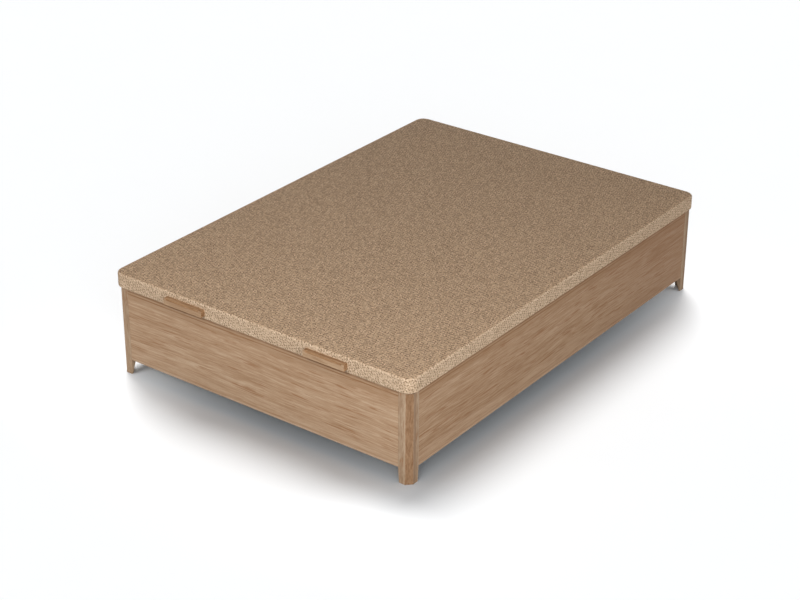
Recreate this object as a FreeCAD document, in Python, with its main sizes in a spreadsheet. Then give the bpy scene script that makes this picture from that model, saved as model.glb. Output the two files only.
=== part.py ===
import FreeCAD, Part
import math
import os
from types import SimpleNamespace

import Sketcher

# Driving dimensions of the bed, lengths in millimetres and angles in degrees
SIZES = {
    # lid outline, upholstery and the tube frame inside it
    "lid_width": 1350,
    "lid_length": 1900,
    "lid_thickness": 59,
    "lid_corner_radius": 42,
    "lid_top_edge_radius": 9,
    "lid_under_chamfer": 3,
    "fill_chamfer": 4,
    "cover_thickness": 2.5,
    "cover_tuck": 45,
    "tuck_corner_radius": 20,
    "side_padding": 8,
    "soft_clearance": 0.3,
    "board_thickness": 5,
    "frame_tube": 30,
    "frame_wall": 1.5,
    "frame_bend_radius": 12,
    # box panels, corner posts and the legs they run down into
    "overhang": 9,
    "lid_gap": 4,
    "panel_height": 293,
    "panel_thickness": 25,
    "seam_chamfer": 1,
    "post_flange": 50,
    "post_chamfer": 20,
    "leg_height": 61,
    "leg_foot_thickness": 6,
    "leg_foot_core": 20,
    "leg_foot_narrowing": 4,
    # storage floor, its battens, cross beam and middle foot
    "batten_width": 25,
    "batten_height": 30,
    "floor_thickness": 6,
    "floor_clearance": 1,
    "beam_width": 40,
    "beam_wall": 2,
    "foot_top_side": 40,
    "foot_base_side": 28,
    # steel brackets in the corners and cleats at the ends of the beam
    "bracket_leg": 64,
    "bracket_thickness": 2.5,
    "bracket_height": 140,
    "bracket_drop": 19,
    "bracket_screw_edge": 16,
    "post_screw_edge": 13,
    "cleat_leg": 25,
    "cleat_height": 24,
    # rubber pads on the top edges of the panels
    "buffer_side": 16,
    "buffer_clearance": 0.3,
    # wooden pulls on the foot end of the lid
    "handle_length": 180,
    "handle_height": 25,
    "handle_depth": 19,
    "handle_rise": 13,
    "handle_spread": 320,
    "handle_corner_radius": 5,
    "handle_ear": 10,
    "scoop_radius": 7,
    "cove_depth": 3.5,
    "handle_screw_spread": 60,
    "handle_screw_grip": 12,
    # lid hinges behind the head panel
    "hinge_length": 90,
    "hinge_spread": 420,
    "knuckle_radius": 4,
    "knuckle_length": 33,
    "knuckle_gap": 0.5,
    "leaf_thickness": 2,
    "leaf_width": 34,
    "leaf_screw_edge": 13,
    "leaf_screw_spread": 28,
    "pin_radius": 2.5,
    "running_fit": 0.05,
    # gas springs, their pivots and brackets
    "strut_dip": 5.5,
    "strut_inset": 19,
    "cylinder_radius": 11,
    "cylinder_wall": 1.5,
    "cylinder_end": 3,
    "gland_length": 12,
    "rod_radius": 5,
    "piston_length": 8,
    "piston_clearance": 0.1,
    "stroke_clearance": 3,
    "eye_radius": 10,
    "eye_thickness": 10,
    "eye_neck": 18,
    "stud_radius": 5,
    "stud_collar_radius": 8,
    "nut_radius": 9,
    "nut_height": 5,
    "side_clearance": 0.3,
    "plate_thickness": 3,
    "plate_width": 44,
    "plate_height": 60,
    "plate_corner_radius": 8,
    "plate_below": 18,
    "plate_rise": 6,
    "plate_clearance": 1,
    "plate_screw_edge": 9,
    "web_clearance": 4,
    "web_width": 60,
    "web_below": 13,
    "web_corner_radius": 12,
    "flange_reach": 28,
    "flange_screw_spread": 9,
    # low hexagon-head screws, across their corners
    "screw_radius": 2.2,
    "screw_head_radius": 4.5,
    "screw_head_height": 1.5,
    "screw_length": 20,
    # how far a cutting shape runs past the faces it cuts
    "overrun": 5,
}

FULL_TURN = 360
QUARTER_TURN = 90
HEXAGON_SIDE_COUNT = 6
LEFT, RIGHT = -1, 1
FOOT, HEAD = -1, 1
SIDES = (("left", LEFT), ("right", RIGHT))
ENDS = (("foot", FOOT), ("head", HEAD))

doc = FreeCAD.newDocument("storage_bed")
sheet = doc.addObject("Spreadsheet::Sheet", "Sizes")
for row, (alias, value) in enumerate(SIZES.items(), start=1):
    sheet.set(f"A{row}", alias)
    sheet.set(f"B{row}", str(value))
    sheet.setAlias(f"B{row}", alias)
doc.recompute()


# A size keeps its number together with the sheet expression that gives it
class Size:
    def __init__(self, number, text):
        self.number = number
        self.text = text

    def __add__(self, other):
        other = as_size(other)
        return Size(self.number + other.number, f"({self.text} + {other.text})")

    def __sub__(self, other):
        other = as_size(other)
        return Size(self.number - other.number, f"({self.text} - {other.text})")

    def __mul__(self, factor):
        factor = as_size(factor)
        return Size(self.number * factor.number, f"({self.text} * {factor.text})")

    def __truediv__(self, divisor):
        divisor = as_size(divisor)
        return Size(self.number / divisor.number, f"({self.text} / {divisor.text})")

    def __neg__(self):
        return self * -1


def as_size(value):
    return value if isinstance(value, Size) else Size(value, f"({value})")


def sine(angle):
    return Size(math.sin(math.radians(angle.number)), f"sin({angle.text})")


def cosine(angle):
    return Size(math.cos(math.radians(angle.number)), f"cos({angle.text})")


def distance(run, rise):
    return Size(math.hypot(run.number, rise.number), f"hypot({run.text}; {rise.text})")


def slope(run, rise):
    degrees = math.degrees(math.atan2(rise.number, run.number))
    return Size(degrees, f"(atan2({rise.text}; {run.text}) / 1 deg)")


S = SimpleNamespace(**{alias: Size(float(sheet.get(alias)), f"Sizes.{alias}") for alias in SIZES})
ZERO = as_size(0)


def bind(thing, path, size):
    thing.setExpression(path, as_size(size).text)


def place(thing, x, y, z):
    for axis, size in zip("xyz", (x, y, z)):
        bind(thing, f"Placement.Base.{axis}", size)


def turn(thing, axis, degrees):
    thing.Placement = FreeCAD.Placement(FreeCAD.Vector(), FreeCAD.Rotation(axis, degrees))


X_AXIS, Y_AXIS, Z_AXIS = FreeCAD.Vector(1, 0, 0), FreeCAD.Vector(0, 1, 0), FreeCAD.Vector(0, 0, 1)


# A block between its lowest and highest corner
def block(name, low, high):
    thing = doc.addObject("Part::Box", name)
    for side, start, stop in zip(("Length", "Width", "Height"), low, high):
        bind(thing, side, as_size(stop) - start)
    place(thing, *low)
    return thing


# A round bar from its start point along the X axis
def bar(name, start, radius, length):
    thing = doc.addObject("Part::Cylinder", name)
    turn(thing, Y_AXIS, QUARTER_TURN)
    bind(thing, "Radius", radius)
    bind(thing, "Height", length)
    place(thing, *start)
    return thing


# A six-sided bar that stands upright on its own axis
def hexagon(name, start, radius, length):
    thing = doc.addObject("Part::Prism", name)
    thing.Polygon = HEXAGON_SIDE_COUNT
    bind(thing, "Circumradius", radius)
    bind(thing, "Height", length)
    place(thing, ZERO, ZERO, start)
    return thing


# A block that tapers from its foot to its top, each given by its spans in X and Y
def wedge(name, foot, top, height):
    thing = doc.addObject("Part::Wedge", name)
    turn(thing, X_AXIS, QUARTER_TURN)
    for mark, (x_span, y_span) in (("", foot), ("2", top)):
        bind(thing, f"X{mark}min", x_span[0])
        bind(thing, f"X{mark}max", x_span[1])
        bind(thing, f"Z{mark}min", -y_span[1])
        bind(thing, f"Z{mark}max", -y_span[0])
    bind(thing, "Ymin", ZERO)
    bind(thing, "Ymax", height)
    return thing


# The span between two depths measured inwards from one of a pair of opposite faces
def span(way, face, near, far):
    return (face - far, face - near) if way > 0 else (near - face, far - face)


def cut(name, base, tool):
    thing = doc.addObject("Part::Cut", name)
    thing.Base = base
    thing.Tool = tool
    return thing


def common(name, base, tool):
    thing = doc.addObject("Part::Common", name)
    thing.Base = base
    thing.Tool = tool
    return thing


def join(name, *pieces):
    thing = doc.addObject("Part::MultiFuse", name)
    thing.Shapes = list(pieces)
    return thing


# Like pieces of one kind, kept together as separate solids
def group(name, pieces):
    thing = doc.addObject("Part::Compound", name)
    thing.Links = list(pieces)
    return thing


def new_body(name):
    return doc.addObject("PartDesign::Body", name)


# The point at a distance from a corner along the edge that leads to the next corner
def along(corner, goal, distance):
    step_x = goal[0].number - corner[0].number
    step_y = goal[1].number - corner[1].number
    if abs(step_x) > abs(step_y):
        return corner[0] + distance * math.copysign(1, step_x), corner[1]
    return corner[0], corner[1] + distance * math.copysign(1, step_y)


def vector(point):
    return FreeCAD.Vector(point[0].number, point[1].number, 0)


# A sketch of straight edges through its corners; a third value rounds a square corner
def outline(body, role, corners, lift=ZERO):
    sketch = body.newObject("Sketcher::SketchObject", "outline")
    plane = next(feature for feature in body.Origin.OriginFeatures if feature.Role == role)
    sketch.AttachmentSupport = [(plane, "")]
    sketch.MapMode = "FlatFace"
    bind(sketch, "AttachmentOffset.Base.z", lift)
    corners = [tuple(as_size(value) for value in corner) for corner in corners]

    def relate(*terms):
        return sketch.addConstraint(Sketcher.Constraint(*terms))

    def measure(size, *terms):
        bind(sketch, f"Constraints[{relate(*terms, size.number)}]", size)

    def pin(edge, end, point):
        measure(point[0], "DistanceX", -1, 1, edge, end)
        measure(point[1], "DistanceY", -1, 1, edge, end)

    stops = []
    for index, corner in enumerate(corners):
        before = corners[index - 1]
        after = corners[(index + 1) % len(corners)]
        if len(corner) == 2:
            stops.append((corner, corner, None))
        else:
            arrive = along(corner, before, corner[2])
            leave = along(corner, after, corner[2])
            stops.append((arrive, leave, corner[2]))

    edges = []
    for index, (arrive, leave, radius) in enumerate(stops):
        if radius is not None:
            tip = vector(corners[index])
            centre = vector(arrive) + vector(leave) - tip
            middle = centre + (tip - centre).normalize() * radius.number
            arc = sketch.addGeometry(Part.Arc(vector(arrive), middle, vector(leave)), False)
            measure(radius, "Radius", arc)
            edges.append((arc, stops[index]))
        goal = stops[(index + 1) % len(stops)]
        line = sketch.addGeometry(Part.LineSegment(vector(leave), vector(goal[0])), False)
        pin(line, 1, leave)
        if goal[2] is not None:
            pin(line, 2, goal[0])
        edges.append((line, None))

    # an arc's own ends may be stored in either order, so each joint looks up the nearer one
    def end_near(edge, point):
        start = sketch.getPoint(edge, 1)
        return 1 if (start - vector(point)).Length < (sketch.getPoint(edge, 2) - vector(point)).Length else 2

    for index, (edge, arc_stop) in enumerate(edges):
        following, next_stop = edges[(index + 1) % len(edges)]
        if arc_stop is not None:
            relate("Coincident", edge, end_near(edge, arc_stop[1]), following, 1)
        elif next_stop is not None:
            relate("Coincident", edge, 2, following, end_near(following, next_stop[0]))
        else:
            relate("Coincident", edge, 2, following, 1)
    return sketch


def pad(body, sketch, length):
    feature = body.newObject("PartDesign::Pad", "pad")
    feature.Profile = sketch
    bind(feature, "Length", length)
    return feature


# A turned solid from its half section of radius and height
def turned(name, section):
    body = new_body(name)
    sketch = outline(body, "XZ_Plane", section)
    feature = body.newObject("PartDesign::Revolution", "turn")
    feature.Profile = sketch
    feature.ReferenceAxis = (sketch, ["V_Axis"])
    feature.Angle = FULL_TURN
    return body


def rectangle(low, high, radius=None):
    corners = [(low[0], low[1]), (high[0], low[1]), (high[0], high[1]), (low[0], high[1])]
    return [corner if radius is None else (*corner, radius) for corner in corners]


# Each finished piece is kept under the name of its file
nodes = {}


def keep(name, thing):
    thing.Label = name
    nodes[name] = thing
    return thing


# Levels and faces that the pieces share
half_width = S.lid_width / 2
half_length = S.lid_length / 2
panel_top = S.leg_height + S.panel_height
lid_bottom = panel_top + S.lid_gap
lid_top = lid_bottom + S.lid_thickness
box_half_width = half_width - S.overhang
box_half_length = half_length - S.overhang
inner_half_width = box_half_width - S.panel_thickness
inner_half_length = box_half_length - S.panel_thickness
floor_bottom = S.leg_height + S.batten_height
frame_bottom = lid_bottom + S.cover_thickness
frame_top = frame_bottom + S.frame_tube
board_top = frame_top + S.board_thickness

# The hinge axis touches the head panel's back and the lid's underside by one knuckle radius
hinge_y = box_half_length + S.knuckle_radius
hinge_z = lid_bottom - S.knuckle_radius
hinge_places = [(word, S.hinge_spread * side) for word, side in SIDES]

# The lower pivot clears the floor and the corner bracket, and the upper one lies as far from the hinge axis
floor_top = floor_bottom + S.floor_thickness
plate_low = floor_top + S.plate_rise
base_pivot_y = inner_half_length - S.bracket_leg - S.plate_clearance - S.plate_width / 2
base_pivot_z = plate_low + S.plate_below
strut_reach = distance(hinge_y - base_pivot_y, hinge_z - base_pivot_z)
strut_spread = slope(hinge_y - base_pivot_y, hinge_z - base_pivot_z) - S.strut_dip
lid_pivot_y = hinge_y - strut_reach * cosine(S.strut_dip)
lid_pivot_z = hinge_z - strut_reach * sine(S.strut_dip)
strut_tilt = S.strut_dip + strut_spread / 2
strut_length = strut_reach * sine(strut_spread / 2) * 2
strut_x = inner_half_width - S.strut_inset
web_outer = inner_half_width - S.web_clearance
web_inner = web_outer - S.plate_thickness
plate_inner = inner_half_width - S.plate_thickness
eye_outer = strut_x + S.eye_thickness / 2 + S.side_clearance

# Screws: six-sided heads and shanks, with the holes that take them
def screw_pattern(name, length):
    head = hexagon(f"{name}_head", -S.screw_head_height, S.screw_head_radius, S.screw_head_height)
    shank = hexagon(f"{name}_shank", ZERO, S.screw_radius, length)
    hole_length = S.overrun + length + S.running_fit
    hole = hexagon(f"{name}_hole", -S.overrun, S.screw_radius + S.running_fit, hole_length)
    return join(name, head, shank), hole


screw, screw_hole = screw_pattern("screw_pattern", S.screw_length)
grip = S.frame_tube + S.side_padding + S.cover_thickness + S.handle_screw_grip
handle_screw, handle_screw_hole = screw_pattern("handle_screw_pattern", grip)
doc.recompute()


# Copies of a pattern at its places, each pointing its own way
def copies(name, pattern, places):
    solids = []
    for point, way in places:
        solid = pattern.Shape.copy()
        spot = FreeCAD.Vector(*(as_size(value).number for value in point))
        solid.Placement = FreeCAD.Placement(spot, FreeCAD.Rotation(Z_AXIS, FreeCAD.Vector(*way)))
        solids.append(solid)
    group = doc.addObject("Part::Feature", name)
    group.Shape = Part.makeCompound(solids)
    return group


bracket_low = panel_top - S.bracket_drop - S.bracket_height
bracket_face_x = inner_half_width - S.bracket_thickness
bracket_face_y = inner_half_length - S.bracket_thickness
beam_side = S.beam_width / 2
cleat_middle = S.leg_height + S.batten_height / 2
base_places = []
for _, end in ENDS:
    for _, side in SIDES:
        low_level = bracket_low + S.bracket_screw_edge
        high_level = low_level + S.bracket_height - S.bracket_screw_edge * 2
        panel_reach = S.bracket_leg - S.bracket_screw_edge
        for reach, level in ((panel_reach, low_level), (S.post_screw_edge, high_level)):
            screw_y = (inner_half_length - reach) * end
            screw_x = (inner_half_width - reach) * side
            base_places.append(((bracket_face_x * side, screw_y, level), (side, 0, 0)))
            base_places.append(((screw_x, bracket_face_y * end, level), (0, end, 0)))
for _, side in SIDES:
    cleat_reach = S.cleat_leg / 2 + S.bracket_thickness / 2
    base_places.append(((bracket_face_x * side, -beam_side - cleat_reach, cleat_middle), (side, 0, 0)))
    cleat_face = -beam_side - S.bracket_thickness
    base_places.append((((inner_half_width - cleat_reach) * side, cleat_face, cleat_middle), (0, 1, 0)))
    for edge in (-1, 1):
        plate_screw_y = base_pivot_y + (S.plate_width / 2 - S.plate_screw_edge) * edge
        plate_screw_z = plate_low + S.plate_height - S.plate_screw_edge
        base_places.append(((plate_inner * side, plate_screw_y, plate_screw_z), (side, 0, 0)))
for _, hinge_x in hinge_places:
    for edge in (-1, 1):
        leaf_screw_x = hinge_x + S.leaf_screw_spread * edge
        leaf_screw_z = hinge_z - S.leaf_width + S.leaf_screw_edge
        base_places.append(((leaf_screw_x, box_half_length + S.leaf_thickness, leaf_screw_z), (0, -1, 0)))
lid_places = []
for _, hinge_x in hinge_places:
    for edge in (-1, 1):
        leaf_screw_x = hinge_x + S.leaf_screw_spread * edge
        leaf_screw_y = hinge_y - S.leaf_width + S.leaf_screw_edge
        lid_places.append(((leaf_screw_x, leaf_screw_y, lid_bottom - S.leaf_thickness), (0, 0, 1)))
for _, side in SIDES:
    for edge in (-1, 1):
        flange_screw_x = (web_outer - S.flange_reach / 2 - S.plate_thickness) * side
        flange_screw_y = lid_pivot_y + S.flange_screw_spread * edge
        lid_places.append(((flange_screw_x, flange_screw_y, lid_bottom - S.plate_thickness), (0, 0, 1)))
frame_inset = S.cover_thickness + S.side_padding
handle_middle = lid_bottom + S.handle_rise + S.handle_height / 2
handle_places = []
for _, side in SIDES:
    for edge in (-1, 1):
        handle_screw_x = S.handle_spread * side + S.handle_screw_spread * edge
        frame_inner_y = frame_inset + S.frame_tube - half_length
        handle_places.append(((handle_screw_x, frame_inner_y, handle_middle), (0, -1, 0)))
keep("base_screws", copies("base_screws", screw, base_places))
keep("lid_screws", copies("lid_screws", screw, lid_places))
keep("handle_screws", copies("handle_screws", handle_screw, handle_places))
base_holes = copies("base_holes", screw_hole, base_places)
lid_holes = copies("lid_holes", screw_hole, lid_places)
handle_holes = copies("handle_holes", handle_screw_hole, handle_places)


# Panels: boards between the posts, with the outer ends chamfered to a fine seam
def panel(name, half_span, outer, lengthwise, way):
    seam = S.seam_chamfer
    thick = S.panel_thickness
    flat = [
        (-half_span, outer - thick),
        (half_span, outer - thick),
        (half_span, outer - seam),
        (half_span - seam, outer),
        (seam - half_span, outer),
        (-half_span, outer - seam),
    ]
    corners = [(depth * way, span) if lengthwise else (span, depth * way) for span, depth in flat]
    body = new_body(f"{name}_board")
    pad(body, outline(body, "XY_Plane", corners, S.leg_height), S.panel_height)
    keep(name, cut(name, body, base_holes))


for word, end in ENDS:
    panel(f"{word}_panel", box_half_width - S.post_flange, box_half_length, False, end)
for word, side in SIDES:
    panel(f"side_panel_{word}", box_half_length - S.post_flange, box_half_width, True, side)


# Corner posts: angles with a broad chamfer that run down into legs whose inner faces taper to the floor
foot_flange = S.post_flange - S.leg_foot_narrowing
for end_word, end in ENDS:
    for side_word, side in SIDES:
        name = f"corner_post_{end_word}_{side_word}"

        def spans(x_depth, y_depth):
            return span(side, box_half_width, ZERO, x_depth), span(end, box_half_length, ZERO, y_depth)

        core = spans(S.leg_foot_core, S.leg_foot_core)
        flanges = [wedge(f"{name}_core", core, spans(S.panel_thickness, S.panel_thickness), S.leg_height)]
        for lengthwise in (False, True):
            foot = (S.leg_foot_thickness, foot_flange) if lengthwise else (foot_flange, S.leg_foot_thickness)
            shank = (S.panel_thickness, S.post_flange) if lengthwise else (S.post_flange, S.panel_thickness)
            flanges.append(wedge(f"{name}_leg", spans(*foot), spans(*shank), S.leg_height))
            x_span, y_span = spans(*shank)
            low = (x_span[0], y_span[0], S.leg_height)
            flanges.append(block(f"{name}_shank", low, (x_span[1], y_span[1], panel_top)))
        depths = [
            (ZERO, S.post_chamfer),
            (S.post_chamfer, ZERO),
            (S.post_flange, ZERO),
            (S.post_flange, S.post_flange),
            (ZERO, S.post_flange),
        ]
        corners = [
            ((box_half_width - x_depth) * side, (box_half_length - y_depth) * end) for x_depth, y_depth in depths
        ]
        column = new_body(f"{name}_column")
        pad(column, outline(column, "XY_Plane", corners), panel_top)
        chamfered = common(f"{name}_chamfered", join(f"{name}_blank", *flanges), column)
        keep(name, cut(name, chamfered, base_holes))

# Corner brackets: folded steel angles screwed to the posts and panels from inside
for end_word, end in ENDS:
    for side_word, side in SIDES:
        name = f"corner_bracket_{end_word}_{side_word}"
        depths = [
            (ZERO, ZERO),
            (S.bracket_leg, ZERO),
            (S.bracket_leg, S.bracket_thickness),
            (S.bracket_thickness, S.bracket_thickness),
            (S.bracket_thickness, S.bracket_leg),
            (ZERO, S.bracket_leg),
        ]
        corners = [((inner_half_width - u) * side, (inner_half_length - v) * end) for u, v in depths]
        angle = new_body(f"{name}_blank")
        pad(angle, outline(angle, "XY_Plane", corners, bracket_low), S.bracket_height)
        keep(name, cut(name, angle, base_holes))

# Battens round the foot of the box, in two lengths beside the beam along each side
for word, end in ENDS:
    inner = (inner_half_length - S.batten_width) * end
    outer = inner_half_length * end
    low_y, high_y = (outer, inner) if end == FOOT else (inner, outer)
    low = (-inner_half_width, low_y, S.leg_height)
    high = (inner_half_width, high_y, floor_bottom)
    keep(f"batten_{word}", block(f"batten_{word}", low, high))
for word, side in SIDES:
    inner = (inner_half_width - S.batten_width) * side
    outer = inner_half_width * side
    low_x, high_x = (outer, inner) if side == LEFT else (inner, outer)
    reach = inner_half_length - S.batten_width
    foot_stop = -beam_side - S.cleat_leg - S.floor_clearance
    foot_half = block("foot_half", (low_x, -reach, S.leg_height), (high_x, foot_stop, floor_bottom))
    head_start = beam_side + S.floor_clearance
    head_half = block("head_half", (low_x, head_start, S.leg_height), (high_x, reach, floor_bottom))
    keep(f"battens_{word}", group(f"battens_{word}", [foot_half, head_half]))

# Cross beam: a steel tube under the joint of the floor boards, on a tapered middle foot
beam_outer = block(
    "beam_outer",
    (-inner_half_width, -beam_side, S.leg_height),
    (inner_half_width, beam_side, floor_bottom),
)
beam_inner = block(
    "beam_inner",
    (-inner_half_width - S.overrun, S.beam_wall - beam_side, S.leg_height + S.beam_wall),
    (inner_half_width + S.overrun, beam_side - S.beam_wall, floor_bottom - S.beam_wall),
)
keep("centre_beam", cut("centre_beam", cut("beam_tube", beam_outer, beam_inner), base_holes))
foot_base = S.foot_base_side / 2
foot_top = S.foot_top_side / 2
foot_spans = [((-half, half), (-half, half)) for half in (foot_base, foot_top)]
keep("centre_foot", wedge("centre_foot", *foot_spans, S.leg_height))

# Cleats: small steel angles that tie the beam to the side panels
cleats = []
for word, side in SIDES:
    depths = [
        (ZERO, ZERO),
        (S.cleat_leg, ZERO),
        (S.cleat_leg, S.bracket_thickness),
        (S.bracket_thickness, S.bracket_thickness),
        (S.bracket_thickness, S.cleat_leg),
        (ZERO, S.cleat_leg),
    ]
    corners = [((inner_half_width - u) * side, -beam_side - v) for u, v in depths]
    cleat = new_body(f"cleat_{word}_blank")
    cleat_low = cleat_middle - S.cleat_height / 2
    pad(cleat, outline(cleat, "XY_Plane", corners, cleat_low), S.cleat_height)
    cleats.append(cut(f"cleat_{word}", cleat, base_holes))
keep("beam_cleats", group("beam_cleats", cleats))

# Floor boards: a foot half and a head half that meet over the beam
floor_x = inner_half_width - S.floor_clearance
floor_y = inner_half_length - S.floor_clearance
joint = S.floor_clearance / 2
foot_board = block("floor_board_foot", (-floor_x, -floor_y, floor_bottom), (floor_x, -joint, floor_top))
head_board = block("floor_board_head", (-floor_x, joint, floor_bottom), (floor_x, floor_y, floor_top))
keep("floor_board_foot", foot_board)
keep("floor_board_head", head_board)

# Buffers: rubber pads on the panel edges that the closed lid comes down on
SIDE_BUFFER_SHARES = (-0.7, 0, 0.7)
FOOT_BUFFER_SHARES = (-0.6, 0.6)
panel_middle = S.panel_thickness / 2
buffer_height = S.lid_gap - S.buffer_clearance
spots = [
    ((box_half_width - panel_middle) * side, box_half_length * share)
    for _, side in SIDES
    for share in SIDE_BUFFER_SHARES
]
spots += [(box_half_width * share, panel_middle - box_half_length) for share in FOOT_BUFFER_SHARES]
buffer_half = S.buffer_side / 2
buffers = []
for x, y in spots:
    low = (x - buffer_half, y - buffer_half, panel_top)
    buffers.append(block("buffer", low, (x + buffer_half, y + buffer_half, panel_top + buffer_height)))
keep("lid_buffers", group("lid_buffers", buffers))


# A level slab with the lid's plan shape, drawn in from its edge
def slab(name, inset, radius, low, high):
    body = new_body(name)
    x = half_width - inset
    y = half_length - inset
    pad(body, outline(body, "XY_Plane", rectangle((-x, -y), (x, y), radius), low), high - low)
    return body


# Rounds or bevels all the edges of a slab that lie at one level
def soften(body, level, kind, measure, size):
    doc.recompute()
    names = []
    for index, edge in enumerate(body.Shape.Edges, start=1):
        box = edge.BoundBox
        if box.ZLength < FLAT and abs(box.ZMin - level.number) < FLAT:
            names.append(f"Edge{index}")
    blank = body.Tip
    feature = body.newObject(f"PartDesign::{kind}", "soft_edge")
    feature.Base = (blank, names)
    bind(feature, measure, size)


# two levels closer than this share of the lid's thickness count as one
LEVEL_SHARE = 0.001
FLAT = S.lid_thickness.number * LEVEL_SHARE

# Lid cover: woven fabric drawn over the padding and turned in under the frame
tuck_top = lid_bottom + S.cover_thickness
cover_outer = slab("cover_outer", ZERO, S.lid_corner_radius, lid_bottom, lid_top)
soften(cover_outer, lid_top, "Fillet", "Radius", S.lid_top_edge_radius)
soften(cover_outer, lid_bottom, "Chamfer", "Size", S.lid_under_chamfer)
fill_top = lid_top - S.cover_thickness
fill_radius = S.lid_corner_radius - S.cover_thickness
cover_inner = slab("cover_inner", S.cover_thickness, fill_radius, tuck_top, fill_top)
soften(cover_inner, fill_top, "Chamfer", "Size", S.fill_chamfer)
cover_mouth = slab(
    "cover_mouth", S.cover_tuck, S.tuck_corner_radius, lid_bottom - S.overrun, tuck_top + S.side_padding
)
cover_shell = cut("cover_shell", cut("cover_hollow", cover_outer, cover_inner), cover_mouth)
cover_drilled = cut("cover_drilled", cover_shell, lid_holes)
keep("lid_cover", cut("lid_cover", cover_drilled, handle_holes))

# Padding: a foam slab over the board, with a rim that runs down round the frame
pad_inset = S.cover_thickness + S.soft_clearance
pad_radius = S.lid_corner_radius - pad_inset
pad_outer = slab("padding_outer", pad_inset, pad_radius, frame_bottom, fill_top - S.soft_clearance)
soften(pad_outer, fill_top - S.soft_clearance, "Chamfer", "Size", S.fill_chamfer)
frame_radius = S.frame_bend_radius + S.frame_tube
pocket = slab(
    "padding_pocket",
    frame_inset - S.soft_clearance,
    frame_radius + S.soft_clearance,
    frame_bottom - S.overrun,
    board_top,
)
keep("lid_padding", cut("lid_padding", cut("padding_rim", pad_outer, pocket), handle_holes))

# Lid board: a thin panel with the frame's outline, lying on the tubes
keep("lid_board", slab("lid_board", frame_inset, frame_radius, frame_top, board_top))

# Lid frame: square tube bent into two U shapes that meet half way along the lid
ring_outer = slab("ring_outer", frame_inset, frame_radius, frame_bottom, frame_top)
ring_inner = slab(
    "ring_inner",
    frame_inset + S.frame_tube,
    S.frame_bend_radius,
    frame_bottom - S.overrun,
    frame_top + S.overrun,
)
ring = cut("ring", ring_outer, ring_inner)
bore_low = frame_bottom + S.frame_wall
bore_high = frame_top - S.frame_wall
bore_outer = slab("bore_outer", frame_inset + S.frame_wall, frame_radius - S.frame_wall, bore_low, bore_high)
bore_inner = slab(
    "bore_inner",
    frame_inset + S.frame_tube - S.frame_wall,
    S.frame_bend_radius + S.frame_wall,
    bore_low - S.overrun,
    bore_high + S.overrun,
)
bore = cut("bore", bore_outer, bore_inner)
for word, end in ENDS:
    low_y, high_y = (-half_length, ZERO) if end == FOOT else (ZERO, half_length)
    half = block(f"half_{word}", (-half_width, low_y, ZERO), (half_width, high_y, lid_top))
    bent = common(f"bent_{word}", ring, half)
    tube = cut(f"tube_{word}", bent, bore)
    holes = handle_holes if end == FOOT else lid_holes
    keep(f"lid_frame_{word}", cut(f"lid_frame_{word}", tube, holes))

# Crossbars: lengths of the same tube welded across the frame
bar_end = half_width - frame_inset - S.frame_tube
bar_half = S.frame_tube / 2
for word, bar_y in (("foot", -lid_pivot_y), ("middle", ZERO), ("head", lid_pivot_y)):
    outer = block(
        f"crossbar_outer_{word}",
        (-bar_end, bar_y - bar_half, frame_bottom),
        (bar_end, bar_y + bar_half, frame_top),
    )
    inner = block(
        f"crossbar_inner_{word}",
        (-bar_end - S.overrun, bar_y - bar_half + S.frame_wall, bore_low),
        (bar_end + S.overrun, bar_y + bar_half - S.frame_wall, bore_high),
    )
    tube = cut(f"crossbar_tube_{word}", outer, inner)
    keep(f"lid_crossbar_{word}", cut(f"lid_crossbar_{word}", tube, lid_holes))

# Lining: the sheet inside the turned-in edge that closes the lid from below
lining_radius = S.tuck_corner_radius - S.soft_clearance
lining = slab("lining_sheet", S.cover_tuck + S.soft_clearance, lining_radius, lid_bottom, frame_bottom)
keep("lid_lining", cut("lid_lining", lining, lid_holes))

# Pulls: wooden blocks with a scooped top edge and a finger cove along the underside
for word, side in SIDES:
    name = f"handle_{word}"
    half = S.handle_length / 2
    middle = S.handle_spread * side
    low_z = lid_bottom + S.handle_rise
    high_z = low_z + S.handle_height
    corners = [
        (middle - half, low_z),
        (middle + half, low_z),
        (middle + half, high_z, S.handle_corner_radius),
        (middle - half, high_z, S.handle_corner_radius),
    ]
    wood = new_body(f"{name}_block")
    pad(wood, outline(wood, "XZ_Plane", corners), S.handle_depth)
    place(wood, ZERO, -half_length, ZERO)
    front = -half_length - S.handle_depth
    run = half - S.handle_ear
    cove_y = -half_length - S.handle_depth / 2
    cove_z = low_z - S.scoop_radius + S.cove_depth
    for groove_y, groove_z in ((front, high_z), (cove_y, cove_z)):
        groove = bar("groove", (middle - run, groove_y, groove_z), S.scoop_radius, run * 2)
        wood = cut(f"{name}_grooved", wood, groove)
    keep(name, cut(name, wood, handle_holes))

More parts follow.
